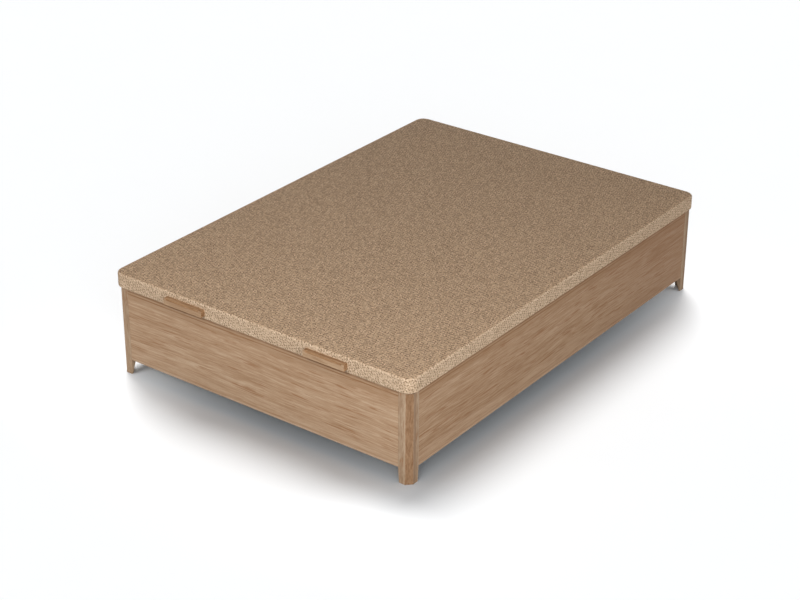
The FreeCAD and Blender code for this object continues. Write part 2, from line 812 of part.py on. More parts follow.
# Hinges: rolled leaves with alternating knuckles, so the two halves swing round one pin
knuckle_half = S.knuckle_length / 2
room = S.knuckle_radius + S.knuckle_gap
base_leaves = []
lid_leaves = []
pins = []
for word, hinge_x in hinge_places:
    start = hinge_x - S.hinge_length / 2
    stop = hinge_x + S.hinge_length / 2
    bore_start = (start - S.overrun, hinge_y, hinge_z)
    bore_radius = S.pin_radius + S.running_fit
    bore = bar(f"pin_bore_{word}", bore_start, bore_radius, S.hinge_length + S.overrun * 2)
    pins.append(bar(f"pin_{word}", (start, hinge_y, hinge_z), S.pin_radius, S.hinge_length))

    roll = bar(f"base_roll_{word}", (start, hinge_y, hinge_z), S.knuckle_radius, S.hinge_length)
    leaf = block(
        f"base_plate_{word}",
        (start, box_half_length, hinge_z - S.leaf_width),
        (stop, box_half_length + S.leaf_thickness, hinge_z),
    )
    notch = block(
        f"base_notch_{word}",
        (hinge_x - knuckle_half - S.knuckle_gap, hinge_y - room, hinge_z - room),
        (hinge_x + knuckle_half + S.knuckle_gap, hinge_y + room, hinge_z + room),
    )
    base_leaf = cut(f"base_rolled_{word}", join(f"base_blank_{word}", leaf, roll), bore)
    base_leaf = cut(f"base_notched_{word}", base_leaf, notch)
    base_leaves.append(cut(f"base_leaf_{word}", base_leaf, base_holes))

    roll = bar(
        f"lid_roll_{word}", (hinge_x - knuckle_half, hinge_y, hinge_z), S.knuckle_radius, S.knuckle_length
    )
    leaf = block(
        f"lid_plate_{word}",
        (start, hinge_y - S.leaf_width, lid_bottom - S.leaf_thickness),
        (stop, hinge_y - room, lid_bottom),
    )
    tongue = block(
        f"lid_tongue_{word}",
        (hinge_x - knuckle_half, hinge_y - room, lid_bottom - S.leaf_thickness),
        (hinge_x + knuckle_half, hinge_y, lid_bottom),
    )
    lid_leaf = cut(f"lid_rolled_{word}", join(f"lid_blank_{word}", leaf, tongue, roll), bore)
    lid_leaves.append(cut(f"lid_leaf_{word}", lid_leaf, lid_holes))
keep("hinge_base_leaves", group("hinge_base_leaves", base_leaves))
keep("hinge_lid_leaves", group("hinge_lid_leaves", lid_leaves))
keep("hinge_pins", group("hinge_pins", pins))


# A pivot stud: a collar on the plate, a running length for the eye, and a nut
def stud(name, collar, side, spot):
    run = collar + S.eye_thickness + S.side_clearance * 2
    tip = run + S.nut_height / 2
    section = [
        (ZERO, ZERO),
        (S.stud_collar_radius, ZERO),
        (S.stud_collar_radius, collar),
        (S.stud_radius, collar),
        (S.stud_radius, tip),
        (ZERO, tip),
    ]
    nut = hexagon(f"{name}_nut", run, S.nut_radius, S.nut_height)
    thing = join(name, turned(f"{name}_pin", section), nut)
    turn(thing, Y_AXIS, -QUARTER_TURN * side)
    place(thing, *spot)
    return thing


# An end eye of a gas spring, with its neck pointing up or down the spring's own axis
def eye(name, neck_way, spot):
    half = S.eye_thickness / 2
    ring = bar(f"{name}_ring", (-half, ZERO, ZERO), S.eye_radius, S.eye_thickness)
    low, high = (ZERO, S.eye_neck) if neck_way > 0 else (-S.eye_neck, ZERO)
    neck = block(f"{name}_neck", (-half, -half, low), (half, half, high))
    bore_length = S.eye_thickness + S.overrun * 2
    bore = bar(f"{name}_bore", (-half - S.overrun, ZERO, ZERO), S.stud_radius + S.running_fit, bore_length)
    along_strut(keep(name, cut(name, join(f"{name}_blank", ring, neck), bore)), spot)


# Tilts a piece made upright onto the line between the two pivots
def along_strut(thing, spot):
    turn(thing, X_AXIS, strut_tilt.number)
    bind(thing, "Placement.Rotation.Angle", strut_tilt)
    place(thing, *spot)


# Gas springs: the cylinder hangs from the lid, and its rod stands on the box's bracket
cylinder_top = -S.eye_neck
cylinder_bottom = S.eye_neck + S.stroke_clearance - strut_length
bore_radius = S.cylinder_radius - S.cylinder_wall
gland_top = cylinder_bottom + S.gland_length
cylinder_section = [
    (ZERO, cylinder_top),
    (S.cylinder_radius, cylinder_top),
    (S.cylinder_radius, cylinder_bottom),
    (S.rod_radius + S.running_fit, cylinder_bottom),
    (S.rod_radius + S.running_fit, gland_top),
    (bore_radius, gland_top),
    (bore_radius, cylinder_top - S.cylinder_end),
    (ZERO, cylinder_top - S.cylinder_end),
]
piston_top = strut_length - S.eye_neck - S.cylinder_end - S.stroke_clearance
piston_radius = bore_radius - S.piston_clearance
rod_section = [
    (ZERO, S.eye_neck),
    (S.rod_radius, S.eye_neck),
    (S.rod_radius, piston_top - S.piston_length),
    (piston_radius, piston_top - S.piston_length),
    (piston_radius, piston_top),
    (ZERO, piston_top),
]
base_studs = []
lid_studs = []
for word, side in SIDES:
    lid_pivot = (strut_x * side, lid_pivot_y, lid_pivot_z)
    base_pivot = (strut_x * side, base_pivot_y, base_pivot_z)
    along_strut(keep(f"gas_cylinder_{word}", turned(f"gas_cylinder_{word}", cylinder_section)), lid_pivot)
    along_strut(keep(f"gas_rod_{word}", turned(f"gas_rod_{word}", rod_section)), base_pivot)
    eye(f"cylinder_eye_{word}", -1, lid_pivot)
    eye(f"rod_eye_{word}", 1, base_pivot)
    base_seat = (plate_inner * side, base_pivot_y, base_pivot_z)
    lid_seat = (web_inner * side, lid_pivot_y, lid_pivot_z)
    base_studs.append(stud(f"base_stud_{word}", plate_inner - eye_outer, side, base_seat))
    lid_studs.append(stud(f"lid_stud_{word}", web_inner - eye_outer, side, lid_seat))
keep("strut_base_studs", group("strut_base_studs", base_studs))
keep("strut_lid_studs", group("strut_lid_studs", lid_studs))

# Strut brackets: a plate on each side panel, and an angle under the lid's head crossbar
for word, side in SIDES:
    name = f"strut_base_bracket_{word}"
    plate_y = S.plate_width / 2
    low = (base_pivot_y - plate_y, plate_low)
    high = (base_pivot_y + plate_y, plate_low + S.plate_height)
    plate = new_body(f"{name}_plate")
    corners = rectangle(low, high, S.plate_corner_radius)
    pad(plate, outline(plate, "YZ_Plane", corners), S.plate_thickness)
    place(plate, plate_inner if side == RIGHT else -inner_half_width, ZERO, ZERO)
    keep(name, cut(name, plate, base_holes))

    name = f"strut_lid_bracket_{word}"
    web_y = S.web_width / 2
    web_low = lid_pivot_z - S.web_below
    corners = [
        (lid_pivot_y - web_y, web_low, S.web_corner_radius),
        (lid_pivot_y + web_y, web_low, S.web_corner_radius),
        (lid_pivot_y + web_y, lid_bottom),
        (lid_pivot_y - web_y, lid_bottom),
    ]
    angle = new_body(f"{name}_web")
    web_left = web_inner if side == RIGHT else -web_outer
    pad(angle, outline(angle, "YZ_Plane", corners, web_left), S.plate_thickness)
    reach = [web_outer * side, (web_outer - S.flange_reach - S.plate_thickness) * side]
    low_x, high_x = reach if side == LEFT else reach[::-1]
    low = (low_x, lid_pivot_y - web_y)
    high = (high_x, lid_pivot_y + web_y)
    flange = outline(angle, "XY_Plane", rectangle(low, high), lid_bottom - S.plate_thickness)
    pad(angle, flange, S.plate_thickness)
    keep(name, cut(name, angle, lid_holes))

# Every object has to be sound before any file is written
doc.recompute()
faults = [thing.Label for thing in doc.Objects if {"Invalid", "Error"} & set(thing.State)]
for name, thing in nodes.items():
    if thing.Shape.isNull() or not thing.Shape.isValid() or not thing.Shape.Solids:
        faults.append(name)
if faults:
    raise RuntimeError(f"not sound: {sorted(set(faults))}")
os.makedirs("parts", exist_ok=True)
for name, thing in nodes.items():
    thing.Shape.exportStep(f"parts/{name}.step")
print(len(nodes), "pieces")
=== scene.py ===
import math

import bmesh
import bpy
from mathutils import Color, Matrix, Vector


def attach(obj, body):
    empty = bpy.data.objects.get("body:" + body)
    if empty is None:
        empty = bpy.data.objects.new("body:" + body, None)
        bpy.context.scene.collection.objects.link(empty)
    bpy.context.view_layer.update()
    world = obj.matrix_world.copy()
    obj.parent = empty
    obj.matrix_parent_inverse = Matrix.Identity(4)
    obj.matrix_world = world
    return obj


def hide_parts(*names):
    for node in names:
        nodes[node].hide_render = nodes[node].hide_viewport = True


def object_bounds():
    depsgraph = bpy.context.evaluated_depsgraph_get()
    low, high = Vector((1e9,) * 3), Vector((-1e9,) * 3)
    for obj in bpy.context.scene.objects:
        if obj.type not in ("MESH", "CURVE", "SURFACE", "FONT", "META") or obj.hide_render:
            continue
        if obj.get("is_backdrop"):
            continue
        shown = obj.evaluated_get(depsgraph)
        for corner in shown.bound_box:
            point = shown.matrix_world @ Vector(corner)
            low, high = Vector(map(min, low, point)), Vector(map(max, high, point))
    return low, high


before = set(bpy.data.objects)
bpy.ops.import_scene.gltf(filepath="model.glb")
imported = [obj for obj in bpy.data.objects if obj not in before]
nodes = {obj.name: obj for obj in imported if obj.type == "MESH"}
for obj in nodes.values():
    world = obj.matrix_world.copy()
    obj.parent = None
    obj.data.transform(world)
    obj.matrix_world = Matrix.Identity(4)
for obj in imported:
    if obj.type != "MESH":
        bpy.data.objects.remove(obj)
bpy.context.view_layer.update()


# Box panels. Four boards faced with light oak, the grain running along each board, that close the box
# between the corner posts. Their edges are eased, and they are screwed to folded brackets from inside.
def add(tree, kind, feeds=(), **settings):
    item = tree.nodes.new(kind)
    for key, value in settings.items():
        setattr(item, key, value)
    for key, value in dict(feeds).items():
        if isinstance(value, bpy.types.NodeSocket):
            tree.links.new(value, item.inputs[key])
        else:
            item.inputs[key].default_value = value
    return item


def sums(tree, operation, first, second=0.0, third=0.0):
    return add(tree, "ShaderNodeMath", {0: first, 1: second, 2: third}, operation=operation).outputs[0]


def blended(tree, *parts):
    total = 0.0
    for value, share in parts:
        total = sums(tree, "MULTIPLY_ADD", value, share, total)
    return total


def spread(tree, value, low, high, to_low=0.0, to_high=1.0):
    feeds = {"Value": value, 1: low, 2: high, 3: to_low, 4: to_high}
    return add(tree, "ShaderNodeMapRange", feeds, interpolation_type="SMOOTHSTEP").outputs[0]


def tint(tree, share, below, above):
    return add(tree, "ShaderNodeMix", {0: share, 6: below, 7: above}, data_type="RGBA").outputs[2]


def paint(*levels):
    shade = Color([level / 255 for level in levels])
    return (*shade.from_srgb_to_scene_linear(), 1.0)


def finish(name, roughness=0.5, metallic=0.0, specular=0.5):
    material = bpy.data.materials.new(name)
    material.use_nodes = True
    shader = material.node_tree.nodes["Principled BSDF"]
    shader.inputs["Roughness"].default_value = roughness
    shader.inputs["Metallic"].default_value = metallic
    shader.inputs["Specular IOR Level"].default_value = specular
    return material, material.node_tree, shader


def coloured(tree, shader, colour, roughness=None):
    tree.links.new(colour, shader.inputs["Base Color"])
    if roughness is not None:
        tree.links.new(roughness, shader.inputs["Roughness"])


def bumped(tree, shader, height, strength, distance):
    feeds = {"Height": height, "Strength": strength, "Distance": distance}
    tree.links.new(add(tree, "ShaderNodeBump", feeds).outputs[0], shader.inputs["Normal"])


def ramped(tree, value, stops):
    ramp = add(tree, "ShaderNodeValToRGB", {0: value})
    elements = ramp.color_ramp.elements
    elements[0].position, elements[0].color = stops[0]
    elements[1].position, elements[1].color = stops[-1]
    for position, colour in stops[1:-1]:
        elements.new(position).color = colour
    return ramp.outputs[0]


def object_spot(tree):
    return add(tree, "ShaderNodeTexCoord").outputs["Object"]


def noise(tree, spot, scale, detail=2.0, roughness=0.55):
    feeds = {"Vector": spot, "Scale": scale, "Detail": detail, "Roughness": roughness}
    return add(tree, "ShaderNodeTexNoise", feeds).outputs["Fac"]


def drawn_noise(tree, spot, scales, detail):
    spot = add(tree, "ShaderNodeMapping", {"Vector": spot, "Scale": scales}).outputs[0]
    return noise(tree, spot, 1.0, detail)


def oak(name, along, tones, seed, run=1.0, bands=(), painted_falloff=None):
    dark, middle, light, red = tones
    material, tree, shader = finish(name, specular=0.12)
    axes = add(tree, "ShaderNodeSeparateXYZ", {0: object_spot(tree)}).outputs
    length, width, depth = (axes[axis] for axis in {"X": "XZY", "Y": "YZX", "Z": "ZXY"}[along])
    layer = sums(tree, "ADD", depth, seed)

    def grain(across, lengthwise, crosswise, detail=2.0):
        spot = add(tree, "ShaderNodeCombineXYZ", {0: length, 1: across, 2: layer}).outputs[0]
        return drawn_noise(tree, spot, (lengthwise * run, crosswise, crosswise), detail)

    wander = sums(tree, "MULTIPLY_ADD", grain(width, 1.6, 6.0), 0.04, -0.02)
    waved = sums(tree, "ADD", width, wander)
    broad = grain(waved, 1.2, 24.0, 3.0)
    fine = grain(waved, 8.0, 175.0)
    thin = grain(waved, 18.0, 420.0)
    tone = blended(tree, (broad, 0.30), (fine, 0.40), (thin, 0.30))
    colour = ramped(tree, tone, [(0.40, dark), (0.50, middle), (0.60, light)])
    pale = spread(tree, grain(waved, 8.0, 180.0, 1.0), 0.58, 0.70, 0.0, 0.55)
    reds = spread(tree, grain(waved, 8.5, 160.0), 0.58, 0.68, 0.0, 0.75)
    colour = tint(tree, reds, tint(tree, pale, colour, light), red)
    broken = spread(tree, fine, 0.30, 0.55, 0.35, 1.0)
    for axis, level, reach, shade, share in bands:
        place = sums(tree, "MULTIPLY_ADD", wander, 0.10, sums(tree, "ABSOLUTE", axes[axis]))
        off = sums(tree, "ABSOLUTE", sums(tree, "SUBTRACT", place, level))
        band = sums(tree, "MULTIPLY", spread(tree, off, reach * 0.5, reach, share, 0.0), broken)
        colour = tint(tree, band, colour, shade)
    pores = spread(tree, grain(waved, 34.0, 1250.0), 0.56, 0.66)
    colour = tint(tree, sums(tree, "MULTIPLY", pores, 0.40), colour, red)
    # painted_falloff darkens the wood along its length: painted shade, where less light reaches the far end.
    if painted_falloff:
        start, stop, share = painted_falloff
        colour = tint(tree, spread(tree, length, start, stop, 0.0, share), colour, red)
    coloured(tree, shader, colour, spread(tree, fine, 0.3, 0.7, 0.68, 0.54))
    bumped(tree, shader, sums(tree, "MULTIPLY_ADD", pores, -0.6, fine), 0.25, 0.0004)
    return material


def alone(piece):
    if bpy.context.object and bpy.context.object.mode != "OBJECT":
        bpy.ops.object.mode_set(mode="OBJECT")
    bpy.ops.object.select_all(action="DESELECT")
    if piece:
        piece.select_set(True)
        bpy.context.view_layer.objects.active = piece


def name_piece(name):
    piece = bpy.context.object
    piece.name = piece.data.name = name
    bpy.ops.object.transform_apply(location=True, rotation=True, scale=True)
    return piece


def even_faces(piece, angle):
    alone(piece)
    bpy.ops.mesh.customdata_custom_splitnormals_clear()
    bpy.ops.object.shade_smooth_by_angle(angle=math.radians(angle))
    weigh = piece.modifiers.new("even_faces", "WEIGHTED_NORMAL")
    weigh.keep_sharp = True
    bpy.ops.object.modifier_apply(modifier=weigh.name)


def soften(piece, width, segments=2, angle=40):
    alone(piece)
    bevel = piece.modifiers.new("soft_edge", "BEVEL")
    bevel.width = width
    bevel.segments = segments
    bevel.limit_method = "ANGLE"
    bevel.angle_limit = math.radians(angle)
    bpy.ops.object.modifier_apply(modifier=bevel.name)
    even_faces(piece, angle)


def block(name, low, high):
    alone(None)
    middle = [(start + stop) / 2 for start, stop in zip(low, high)]
    size = [stop - start for start, stop in zip(low, high)]
    bpy.ops.mesh.primitive_cube_add(size=1, location=middle, scale=size)
    return name_piece(name)


def board(name, low, high, ease):
    piece = block(name, low, high)
    soften(piece, ease)
    return piece


def dress(piece, body, slot, materials, *replaced):
    piece.data.materials.clear()
    for material in materials:
        piece.data.materials.append(material)
    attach(piece, body)
    if replaced:
        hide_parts(*replaced)


box_x, box_y = 0.666, 0.941
panel_thick, panel_top, leg_height = 0.025, 0.354, 0.061
post_flange, panel_ease = 0.050, 0.0010
foot_span, side_span = box_x - post_flange, box_y - post_flange

oak_red = paint(150, 110, 78)
across_tones = paint(163, 131, 102), paint(178, 147, 118), paint(193, 166, 139), oak_red
along_tones = paint(150, 118, 90), paint(165, 134, 105), paint(180, 152, 125), paint(141, 101, 71)
# Straight bands across the boards at given heights. The three near the top are painted shade: a darker zone
# and two dark lines below the lid's overhang. The three near the bottom are lighter and reddish streaks.
board_streaks_and_lid_shade = [
    ("Z", 0.3300, 0.0240, paint(152, 119, 88), 0.45),
    ("Z", 0.3490, 0.0040, paint(120, 86, 58), 0.70),
    ("Z", 0.3370, 0.0032, paint(132, 94, 62), 0.75),
    ("Z", 0.0900, 0.0300, paint(184, 155, 128), 0.45),
    ("Z", 0.0740, 0.0045, oak_red, 0.30),
    ("Z", 0.0650, 0.0060, paint(190, 163, 138), 0.70),
]
across_oak = oak("oak_board_across", "X", across_tones, 0.0, bands=board_streaks_and_lid_shade)
# The side boards darken towards the head end: painted shade.
along_oak = oak("oak_board_along", "Y", along_tones, 3.1, bands=board_streaks_and_lid_shade, painted_falloff=(0.0, 0.9, 0.40))
for node, name, material, low, high in (
    ("foot_panel", "foot_board", across_oak, (-foot_span, -box_y), (foot_span, panel_thick - box_y)),
    ("head_panel", "head_board", across_oak, (-foot_span, box_y - panel_thick), (foot_span, box_y)),
    ("side_panel_left", "left_board", along_oak, (-box_x, -side_span), (panel_thick - box_x, side_span)),
    ("side_panel_right", "right_board", along_oak, (box_x - panel_thick, -side_span), (box_x, side_span)),
):
    piece = board(name, (*low, leg_height), (*high, panel_top), panel_ease)
    dress(piece, "base", "panel_oak", [material], node)


# Corner posts. Solid oak angles, chamfered at the corner and set flush with the panels, that run on down
# as the bed's legs, whose inner faces taper to the floor. One is modelled, and mirrored to the others.
touch = 0.0001
post_chamfer, sliver_area = 0.020, 0.0005
leg_thickness, leg_core, leg_flange = 0.006, 0.020, 0.046


def near(value, *levels):
    return any(abs(value - level) < touch for level in levels)


def facing(x=0, y=0, z=0, limit=0.9):
    return lambda middle, face: face.normal.dot(Vector((x, y, z))) > limit


def pick(piece, kind, test):
    if piece.mode != "EDIT":
        alone(piece)
        bpy.ops.object.mode_set(mode="EDIT")
    bpy.ops.mesh.select_mode(type=kind)
    bpy.ops.mesh.select_all(action="DESELECT")
    mesh = bmesh.from_edit_mesh(piece.data)
    mesh.normal_update()
    for item in {"VERT": mesh.verts, "EDGE": mesh.edges, "FACE": mesh.faces}[kind]:
        corners = [item] if kind == "VERT" else item.verts
        middle = sum((corner.co for corner in corners), corners[0].co * 0) / len(corners)
        if test(middle, item):
            item.select_set(True)
    mesh.select_flush_mode()
    bmesh.update_edit_mesh(piece.data)


def pick_all(piece, kind="FACE"):
    pick(piece, kind, lambda middle, item: True)


def extrude(x, y, z):
    bpy.ops.mesh.extrude_region_move(TRANSFORM_OT_translate={"value": (x, y, z)})


def outward(piece):
    pick_all(piece)
    bpy.ops.mesh.remove_doubles(threshold=touch / 10)
    bpy.ops.mesh.normals_make_consistent(inside=False)
    alone(piece)


def copied(piece, name):
    alone(piece)
    bpy.ops.object.duplicate(linked=False)
    copy = bpy.context.object
    copy.name = copy.data.name = name
    return copy


def mirrored(piece, name, x=1, y=1):
    copied(piece, name).scale = (x, y, 1)
    copy = name_piece(name)
    outward(copy)
    even_faces(copy, 40)
    return copy


alone(None)
middle = (box_x - post_flange / 2, post_flange / 2 - box_y, leg_height)
bpy.ops.mesh.primitive_plane_add(size=post_flange, location=middle)
post = name_piece("post_foot_right")
pick_all(post)
bpy.ops.mesh.subdivide(number_cuts=1)
pick(post, "FACE", lambda middle, face: middle.x < box_x - panel_thick and middle.y > panel_thick - box_y)
bpy.ops.mesh.delete(type="FACE")
pick(post, "VERT", lambda middle, vert: near(middle.x, box_x) and near(middle.y, -box_y))
bpy.ops.mesh.bevel(offset=post_chamfer, segments=1, affect="VERTICES", offset_type="OFFSET")
pick_all(post)
extrude(0, 0, panel_top - leg_height)
outward(post)
pick(post, "FACE", facing(z=-1))
extrude(0, 0, -leg_height)
alone(post)
for corner in post.data.vertices:
    if near(corner.co.z, 0):
        in_x, in_y = box_x - corner.co.x, corner.co.y + box_y
        end_x, end_y = near(in_x, post_flange), near(in_y, post_flange)
        if min(in_x, in_y) > panel_thick - touch:
            in_x = leg_flange if end_x else leg_thickness if end_y else leg_core
            in_y = leg_flange if end_y else leg_thickness if end_x else leg_core
        corner.co.x = box_x - min(in_x, leg_flange)
        corner.co.y = min(in_y, leg_flange) - box_y
outward(post)
soften(post, panel_ease, angle=25)

post_tones = paint(151, 122, 96), paint(165, 138, 112), paint(179, 155, 130), oak_red
# The chamfer faces get a darker copy of the post oak: painted shade on the slanted corner.
shaded_chamfer_tones = paint(128, 97, 70), paint(144, 112, 84), paint(157, 126, 97), paint(124, 88, 60)
# Lines on the posts' flat faces: a painted highlight beside the chamfer on the end face, and on the side
# face a painted shade strip beside the chamfer and a painted highlight at the seam.
post_highlight_and_shade_lines = [
    ("Y", 0.9150, 0.0100, paint(132, 107, 86), 0.70),
    ("Y", 0.8960, 0.0045, paint(172, 150, 128), 0.60),
    ("X", 0.6420, 0.0035, paint(186, 162, 137), 0.60),
]
post_oak = oak("oak_post", "Z", post_tones, 7.7, 3.0, post_highlight_and_shade_lines)
shaded_chamfer_oak = oak("oak_post_chamfer", "Z", shaded_chamfer_tones, 5.2, 4.0)
for node, piece in (
    ("corner_post_foot_right", post),
    ("corner_post_foot_left", mirrored(post, "post_foot_left", x=-1)),
    ("corner_post_head_right", mirrored(post, "post_head_right", y=-1)),
    ("corner_post_head_left", mirrored(post, "post_head_left", x=-1, y=-1)),
):
    dress(piece, "base", "post_oak", [post_oak, shaded_chamfer_oak], node)
    # Chamfer faces take the second, darker oak: painted shade.
    for face in piece.data.polygons:
        normal, centre = face.normal, face.center
        outside = abs(centre.x) > box_x - post_chamfer and abs(centre.y) > box_y - post_chamfer
        slanted = abs(abs(normal.x) - abs(normal.y)) < 0.2 and abs(normal.z) < 0.3
        face.material_index = int(outside and slanted and face.area > sliver_area)


# Corner brackets. Strips of zinc-plated steel folded square, with rounded corners, screwed to the posts
# and panels from inside. One is folded up for the head's right corner, and mirrored to the others.
def dimmed(shade, share):
    return (*(level * share for level in shade[:3]), 1.0)


def plated(name, shade, low_rough, high_rough, flake):
    material, tree, shader = finish(name, metallic=1.0)
    spot = object_spot(tree)
    cells = add(tree, "ShaderNodeTexVoronoi", {"Vector": spot, "Scale": flake, "Randomness": 1.0})
    bright = add(tree, "ShaderNodeSeparateColor", {0: cells.outputs["Color"]}).outputs[0]
    cloud = noise(tree, spot, flake * 0.12, 3.0)
    blend = blended(tree, (cloud, 0.65), (bright, 0.35))
    colour = tint(tree, spread(tree, blend, 0.25, 0.75), dimmed(shade, 0.72), shade)
    coloured(tree, shader, colour, spread(tree, blend, 0.2, 0.8, high_rough, low_rough))
    bumped(tree, shader, noise(tree, spot, flake * 3.0), 0.12, 0.0002)
    return material


def cut_across(piece, axis, place):
    spot, normal = [0, 0, 0], [0, 0, 0]
    spot[axis], normal[axis] = place, 1
    pick_all(piece)
    bpy.ops.mesh.bisect(plane_co=spot, plane_no=normal)


def rounded(piece, width, steps, test):
    pick(piece, "EDGE", test)
    bpy.ops.mesh.bevel(offset=width, segments=steps, affect="EDGES", profile=0.5)


def folded(name, corner, leg, wall, low, high, turn):
    x, y = corner

    def at_end_corner(middle, edge):
        at_side = near(middle.x, x - leg) or near(middle.y, y - leg)
        return at_side and near(middle.z, low, high)

    piece = block(name, (x - leg, y - wall, low), (x, y, high))
    cut_across(piece, 0, x - wall)
    pick(piece, "FACE", lambda middle, face: face.normal.y < -0.9 and middle.x > x - wall)
    extrude(0, wall - leg, 0)
    outward(piece)
    rounded(piece, wall * 1.4, 4, lambda middle, edge: near(middle.x, x) and near(middle.y, y))
    rounded(piece, wall * 0.5, 3, lambda middle, edge: near(middle.x, x - wall) and near(middle.y, y - wall))
    rounded(piece, turn, 5, at_end_corner)
    outward(piece)
    soften(piece, wall * 0.12, angle=35)
    return piece


inner_x, inner_y = box_x - panel_thick, box_y - panel_thick
bracket_leg, bracket_wall, bracket_turn = 0.064, 0.0025, 0.008
bracket_low, bracket_high = 0.195, 0.335
zinc = plated("zinc_plate", paint(196, 198, 200), 0.28, 0.46, 420.0)
bracket_size = bracket_leg, bracket_wall, bracket_low, bracket_high, bracket_turn
bracket = folded("bracket_head_right", (inner_x, inner_y), *bracket_size)
for node, piece in (
    ("corner_bracket_head_right", bracket),
    ("corner_bracket_head_left", mirrored(bracket, "bracket_head_left", x=-1)),
    ("corner_bracket_foot_right", mirrored(bracket, "bracket_foot_right", y=-1)),
    ("corner_bracket_foot_left", mirrored(bracket, "bracket_foot_left", x=-1, y=-1)),
):
    dress(piece, "base", "bracket_steel", [zinc], node)


# Battens. Planed pine strips, glued round the foot of the box to carry the floor. They are whole across
# the two ends, and in two lengths along each side, with the cross beam between them.
def gathered(name, pieces):
    alone(pieces[0])
    for piece in pieces[1:]:
        piece.select_set(True)
    bpy.ops.object.join()
    return name_piece(name)


batten_wide, batten_top, batten_ease = 0.025, 0.091, 0.0015
beam_half, cleat_leg, floor_gap = 0.020, 0.025, 0.001
pine_tones = paint(196, 158, 108), paint(214, 180, 132), paint(228, 199, 156), paint(182, 132, 80)
across_pine = oak("pine_across", "X", pine_tones, 12.3)
along_pine = oak("pine_along", "Y", pine_tones, 15.8)
for node, name, y in (
    ("batten_foot", "foot_batten", -inner_y),
    ("batten_head", "head_batten", inner_y - batten_wide),
):
    piece = board(name, (-inner_x, y, leg_height), (inner_x, y + batten_wide, batten_top), batten_ease)
    dress(piece, "base", "batten_pine", [across_pine], node)
batten_reach = inner_y - batten_wide
for node, name, x in (
    ("battens_left", "left_battens", -inner_x),
    ("battens_right", "right_battens", inner_x - batten_wide),
):
    lengths = []
    for start, stop in (
        (-batten_reach, -beam_half - cleat_leg - floor_gap),
        (beam_half + floor_gap, batten_reach),
    ):
        low, high = (x, start, leg_height), (x + batten_wide, stop, batten_top)
        lengths.append(board(name, low, high, batten_ease))
    dress(gathered(name, lengths), "base", "batten_pine", [along_pine], node)


# Cross beam. A square steel tube in black powder paint under the joint of the floor boards, tied to the
# side panels by two small folded cleats, and carried half way by a tapered plastic foot.
def coat(material, *names):
    for name in names:
        slots = nodes[name].data.materials
        slots.clear()
        slots.append(material)


def grained(name, dark, light, rough):
    material, tree, shader = finish(name, specular=0.4)
    spot = object_spot(tree)
    grains = noise(tree, spot, 900.0)
    blend = blended(tree, (noise(tree, spot, 9.0, 3.0), 0.5), (grains, 0.5))
    colour = tint(tree, spread(tree, blend, 0.3, 0.7), dark, light)
    coloured(tree, shader, colour, spread(tree, blend, 0.3, 0.7, rough + 0.08, rough - 0.08))
    bumped(tree, shader, grains, 0.25, 0.0003)
    return material


beam_paint = grained("black_powder_paint", paint(34, 34, 35), paint(52, 52, 54), 0.52)
coat(beam_paint, "centre_beam")
cleat_low, cleat_high, cleat_turn = 0.064, 0.088, 0.004
cleat_size = cleat_leg, bracket_wall, cleat_low, cleat_high, cleat_turn
cleat = folded("cleat_right", (inner_x, -beam_half), *cleat_size)
cleats = gathered("beam_cleat_pair", [cleat, mirrored(cleat, "cleat_left", x=-1)])
dress(cleats, "base", "bracket_steel", [zinc], "beam_cleats")

foot_half, foot_share, foot_turn = 0.020, 0.7, 0.005
foot_wall, foot_hollow, foot_ease = 0.003, 0.002, 0.0008
foot = block("middle_foot", (-foot_half, -foot_half, 0), (foot_half, foot_half, leg_height))
pick(foot, "FACE", facing(z=-1))
bpy.ops.transform.resize(value=(foot_share, foot_share, 1), center_override=(0, 0, 0))
rounded(foot, foot_turn, 5, lambda middle, edge: near(middle.z, leg_height / 2))
pick(foot, "FACE", facing(z=-1))
bpy.ops.mesh.inset(thickness=foot_wall)
extrude(0, 0, foot_hollow)
outward(foot)
soften(foot, foot_ease)
foot_plastic = grained("moulded_plastic", paint(38, 38, 39), paint(50, 50, 51), 0.62)
dress(foot, "base", "foot_plastic", [foot_plastic], "centre_foot")


# Floor boards. Two sheets of pale hardboard, laid on the battens to meet over the cross beam. Their
# faces are smooth and faintly fibrous.
def hardboard(name, dark, light, fleck):
    material, tree, shader = finish(name, 0.62, specular=0.25)
    spot = object_spot(tree)
    blend = blended(
        tree,
        (drawn_noise(tree, spot, (90.0, 420.0, 90.0), 3.0), 0.15),
        (drawn_noise(tree, spot, (420.0, 90.0, 90.0), 3.0), 0.15),
        (noise(tree, spot, 260.0, 5.0, 0.7), 0.5),
        (noise(tree, spot, 4.0, 3.0), 0.2),
    )
    colour = tint(tree, spread(tree, blend, 0.38, 0.62), dark, light)
    flecks = spread(tree, noise(tree, spot, 520.0, 1.0), 0.66, 0.74, 0.0, 0.6)
    coloured(tree, shader, tint(tree, flecks, colour, fleck))
    bumped(tree, shader, blend, 0.15, 0.0003)
    return material


floor_low, floor_high, floor_ease = 0.091, 0.097, 0.0008
floor_x, floor_y = inner_x - floor_gap, inner_y - floor_gap
floor_board = hardboard("pale_hardboard", paint(196, 188, 174), paint(212, 205, 192), paint(162, 146, 122))
for node, name, start, stop in (
    ("floor_board_foot", "foot_floor", -floor_y, -floor_gap / 2),
    ("floor_board_head", "head_floor", floor_gap / 2, floor_y),
):
    piece = board(name, (-floor_x, start, floor_low), (floor_x, stop, floor_high), floor_ease)
    dress(piece, "base", "floor_fibreboard", [floor_board], node)


# Buffers. Small square pads of dark rubber, glued on the top edges of the panels, that the shut lid
# rests just above. One pad is moulded and set out along the sides and the foot.
def upright_at(x, y):
    return lambda middle, edge: near(abs(middle.x), x) and near(abs(middle.y), y)


def set_out(name, pattern, places):
    copies = []
    for spot, turn in places:
        copy = copied(pattern, name)
        copy.location, copy.rotation_euler = spot, turn
        copies.append(name_piece(name))
    bpy.data.objects.remove(pattern)
    return gathered(name, copies)


